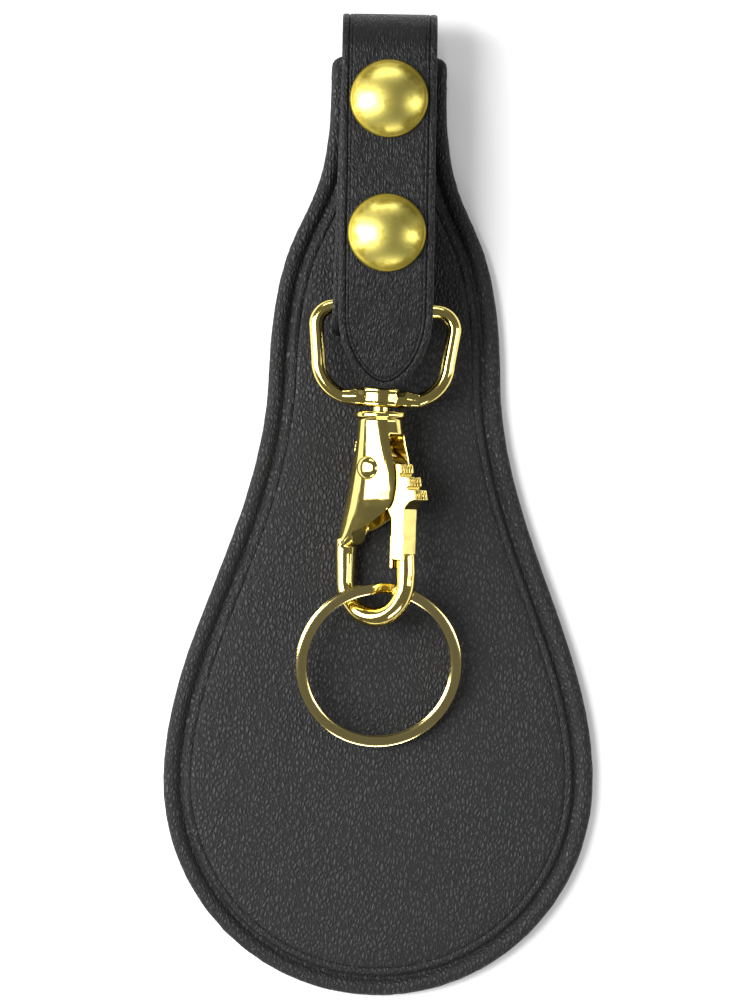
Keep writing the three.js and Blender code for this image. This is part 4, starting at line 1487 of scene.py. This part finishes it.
    def _build_pin(self) -> None:
        """Make the pivot pin with its two domed heads."""
        seat = 4.45
        half = [(0, seat + 0.85), (0.8, seat + 0.8), (1.5, seat + 0.66), (2.0, seat + 0.42),
                (2.25, seat + 0.1), (2.3, seat - 0.15), (2.1, seat - 0.4), (self.pin, seat - 0.4)]
        profile = [*half, *[(radius, -height) for radius, height in reversed(half)]]
        pin = Workpiece().spin_profile(profile, 48)
        pin.move(self.frame @ shift_y(-self.pivot))
        pin.finish("pivot_pin_turned", POLISHED, Slot.POLISHED, Body.HOOK, ["pivot_pin"])

    def _build_lever(self) -> None:
        """Make the gate lever with its serrated thumb ridges and tongue."""
        wide = self.lever_half
        end = -self.pivot - self.reach
        arm = Workpiece().slab([
            (-0.5, -8.1), (3.6, -8.6), (5.0, -9.9), (6.3, -10.1), (6.5, -11.8), (5.9, -12.3),
            (8.1, -12.6), (8.4, -14.3), (7.6, -14.8), (9.5, -15.0), (9.8, -16.9), (8.3, -17.5),
            (7.3, -18.7), (7.2, end + 0.12), (4.3, end + 0.35), (4.3, -20.5), (1.6, -15.5),
            (-0.5, -13.6)], -wide, wide)
        here = shift_y(-self.pivot)
        arm.absorb(rod(self.hub, -wide, wide, 40).move(here))
        arm.absorb(Workpiece().slab([
            (3.6, end + 5), (3.6, end - 1.3), (3.8, end - 1.5), (4.3, end - 1.3), (4.3, end + 1.0),
            (4.8, end + 1.6), (4.8, end + 5.5)], -1.55, 1.55))
        for x, y in self.ridges:
            arm.carve(*[Workpiece().slab([(x - 0.7, y - 0.95), (x + 1.5, y - 1.1),
                                          (x + 1.5, y + 1.1), (x - 0.7, y + 0.95)],
                                         z - 0.2, z + 0.2) for z in self.grooves])
        arm.cast(0.13, 1)
        half = self.spring_pocket_half
        arm.carve(rod(self.spring_pocket, -half, half, 48).move(here),
                  rod(self.pin_bore, -9, 9, 32).move(here))
        arm.move(self.frame)
        arm.finish("gate_lever_cast", POLISHED, Slot.POLISHED, Body.GATE, ["gate_lever"])

    def _build_spring(self) -> None:
        """Wind the gate's torsion spring round the pin."""
        mean, wire, pitch, turns = 3.5, 0.38, 0.82, 3.75
        leg_steps, leg_length, coil_steps = 8, 4.4, 130
        half = pitch * (turns - 0.5) / 2
        stations = []
        for i in range(leg_steps):
            rise = leg_length * (1 - i / leg_steps)
            stations.append(section(AXIS_X * wire, AXIS_Z * wire, -AXIS_Y,
                                    (-mean, rise - self.pivot, half)))
        for i in range(coil_steps + 1):
            share = i / coil_steps
            out, along = spoke(math.pi + share * 2 * math.pi * turns)
            centre = out * mean + Vector((0, -self.pivot, half - 2 * half * share))
            stations.append(section(-out * wire, AXIS_Z * wire, along, centre))
        spring = Workpiece().sweep(stations, 10).move(self.frame)
        spring.finish("gate_spring_wound", SPRING, Slot.SPRING, Body.HOOK, ["gate_spring"])


# ---- The split ring ---------------------------------------------------------------------------


@dataclass
class SplitRing:
    """Two turns of flat wire lying on each other."""

    outer: float = 16.1
    wide: float = 2.1
    tall: float = 1.07
    gap: float = 0.12
    tilt_down: float = math.radians(9)
    tilt_side: float = math.radians(6)
    centre: tuple[float, float] = (-0.3, -30.5)
    step: float = 0.17
    steps: int = 288
    end_size: float = 0.82

    def build(self) -> None:
        """Make the ring."""
        radius = self.outer - self.wide / 2
        pitch = self.tall + self.gap
        reach = 2 * math.pi - self.step
        stations = []
        for i in range(self.steps + 1):
            share = i / self.steps
            from_step = reach * (2 * share - 1)
            crossed = math.sin(min(max(from_step / self.step, -1.0), 1.0) * QUARTER)
            out, along = spoke(QUARTER + from_step)
            ending = min(share, 1 - share) * self.steps
            size = (self.end_size + (1 - self.end_size) * min(ending, 1.0)) / 2
            stations.append(section(-out * self.wide * size, AXIS_Z * self.tall * size, along,
                                    out * radius + AXIS_Z * crossed * pitch / 2))
        ring = Workpiece().sweep(stations, 20, flats=0.62)
        low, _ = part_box("split_ring")
        turn = Matrix.Rotation(self.tilt_down, 4, "X") @ Matrix.Rotation(self.tilt_side, 4, "Y")
        ring.move(turn)
        lows = min(vert.co.z for vert in ring.bm.verts)
        ring.move(Matrix.Translation((*self.centre, low.z / MM - lows)))
        ring.finish("split_ring_coil", RING_WIRE, Slot.POLISHED, Body.RING, ["split_ring"])


# ---- The setting ------------------------------------------------------------------------------


@dataclass
class Setting:
    """The camera, the pale floor and the soft lights."""

    distance: float = 0.9
    span: float = 0.1945
    roll: float = 0.01588
    aim: tuple[float, float] = (-1.46, 1.4)
    room: float = 0.16
    lamps: tuple[tuple[str, tuple[float, float, float], tuple[float, float], float], ...] = (
        ("key_left", (-0.62, 0.05, 0.6), (0.45, 0.9), 15.0),
        ("fill_right", (0.85, 0.0, 0.5), (0.3, 0.8), 3.2),
        ("top_strip", (-0.1, 0.95, 0.6), (0.9, 0.25), 3.5),
        ("foot_strip", (0.1, -1.0, 0.5), (0.8, 0.2), 5.0))

    def camera(self) -> None:
        """Hang the camera straight above the holder."""
        data = bpy.data.cameras.new("camera")
        data.sensor_width = 36.0
        data.lens = data.sensor_width * self.distance / self.span
        camera = bpy.data.objects.new("camera", data)
        camera.location = (self.aim[0] * MM, self.aim[1] * MM, self.distance + 3 * MM)
        camera.rotation_euler = (0.0, 0.0, self.roll)
        bpy.context.scene.collection.objects.link(camera)
        bpy.context.scene.camera = camera

    def floor(self) -> None:
        """Lay the floor."""
        board = Board("pale_floor")
        where = board.coordinates(False)
        tone = board.noise(where, 6.0)
        board.surface(
            Base_Color=board.mix(tone, rgba((0.93, 0.93, 0.93)), rgba((0.95, 0.95, 0.95))),
            Roughness=0.9)
        bm = bmesh.new()
        bmesh.ops.create_grid(bm, x_segments=1, y_segments=1, size=3.0)
        bmesh.ops.translate(bm, vec=(0, 0, -0.0002), verts=bm.verts[:])
        mesh = bpy.data.meshes.new("floor")
        bm.to_mesh(mesh)
        bm.free()
        mesh.materials.append(board.material)
        floor = bpy.data.objects.new("floor", mesh)
        bpy.context.scene.collection.objects.link(floor)

    def light(self, name: str, place: Vector, size: tuple[float, float], power: float) -> None:
        """Hang a soft light that faces the holder.

        Args:
            name: its name.
            place: where it hangs, in metres.
            size: its width and height.
            power: its power in watts.
        """
        data = bpy.data.lights.new(name, "AREA")
        data.shape = "RECTANGLE"
        data.size, data.size_y = size
        data.energy = power
        lamp = bpy.data.objects.new(name, data)
        lamp.location = place
        lamp.rotation_mode = "QUATERNION"
        lamp.rotation_quaternion = (-place).to_track_quat("-Z", "Y")
        bpy.context.scene.collection.objects.link(lamp)

    def lights(self) -> None:
        """Hang every light."""
        world = bpy.data.worlds.new("room")
        world.use_nodes = True
        glow = world.node_tree.nodes["Background"].inputs
        glow["Color"].default_value = rgba((1.0, 1.0, 1.0))
        glow["Strength"].default_value = self.room
        bpy.context.scene.world = world
        for name, place, size, power in self.lamps:
            self.light(name, Vector(place), size, power)
        bpy.context.scene.view_settings.view_transform = "Standard"


def main() -> None:
    """Build the holder piece by piece."""
    setting = Setting()
    setting.camera()
    setting.floor()
    setting.lights()
    Paddle().build()
    Strap().build()
    for place in SNAPS_Y:
        Snap(place).build()
        Rivet(place).build()
    DRing().build()
    TriggerHook().build()
    SplitRing().build()


if __name__ == "__main__":
    main()
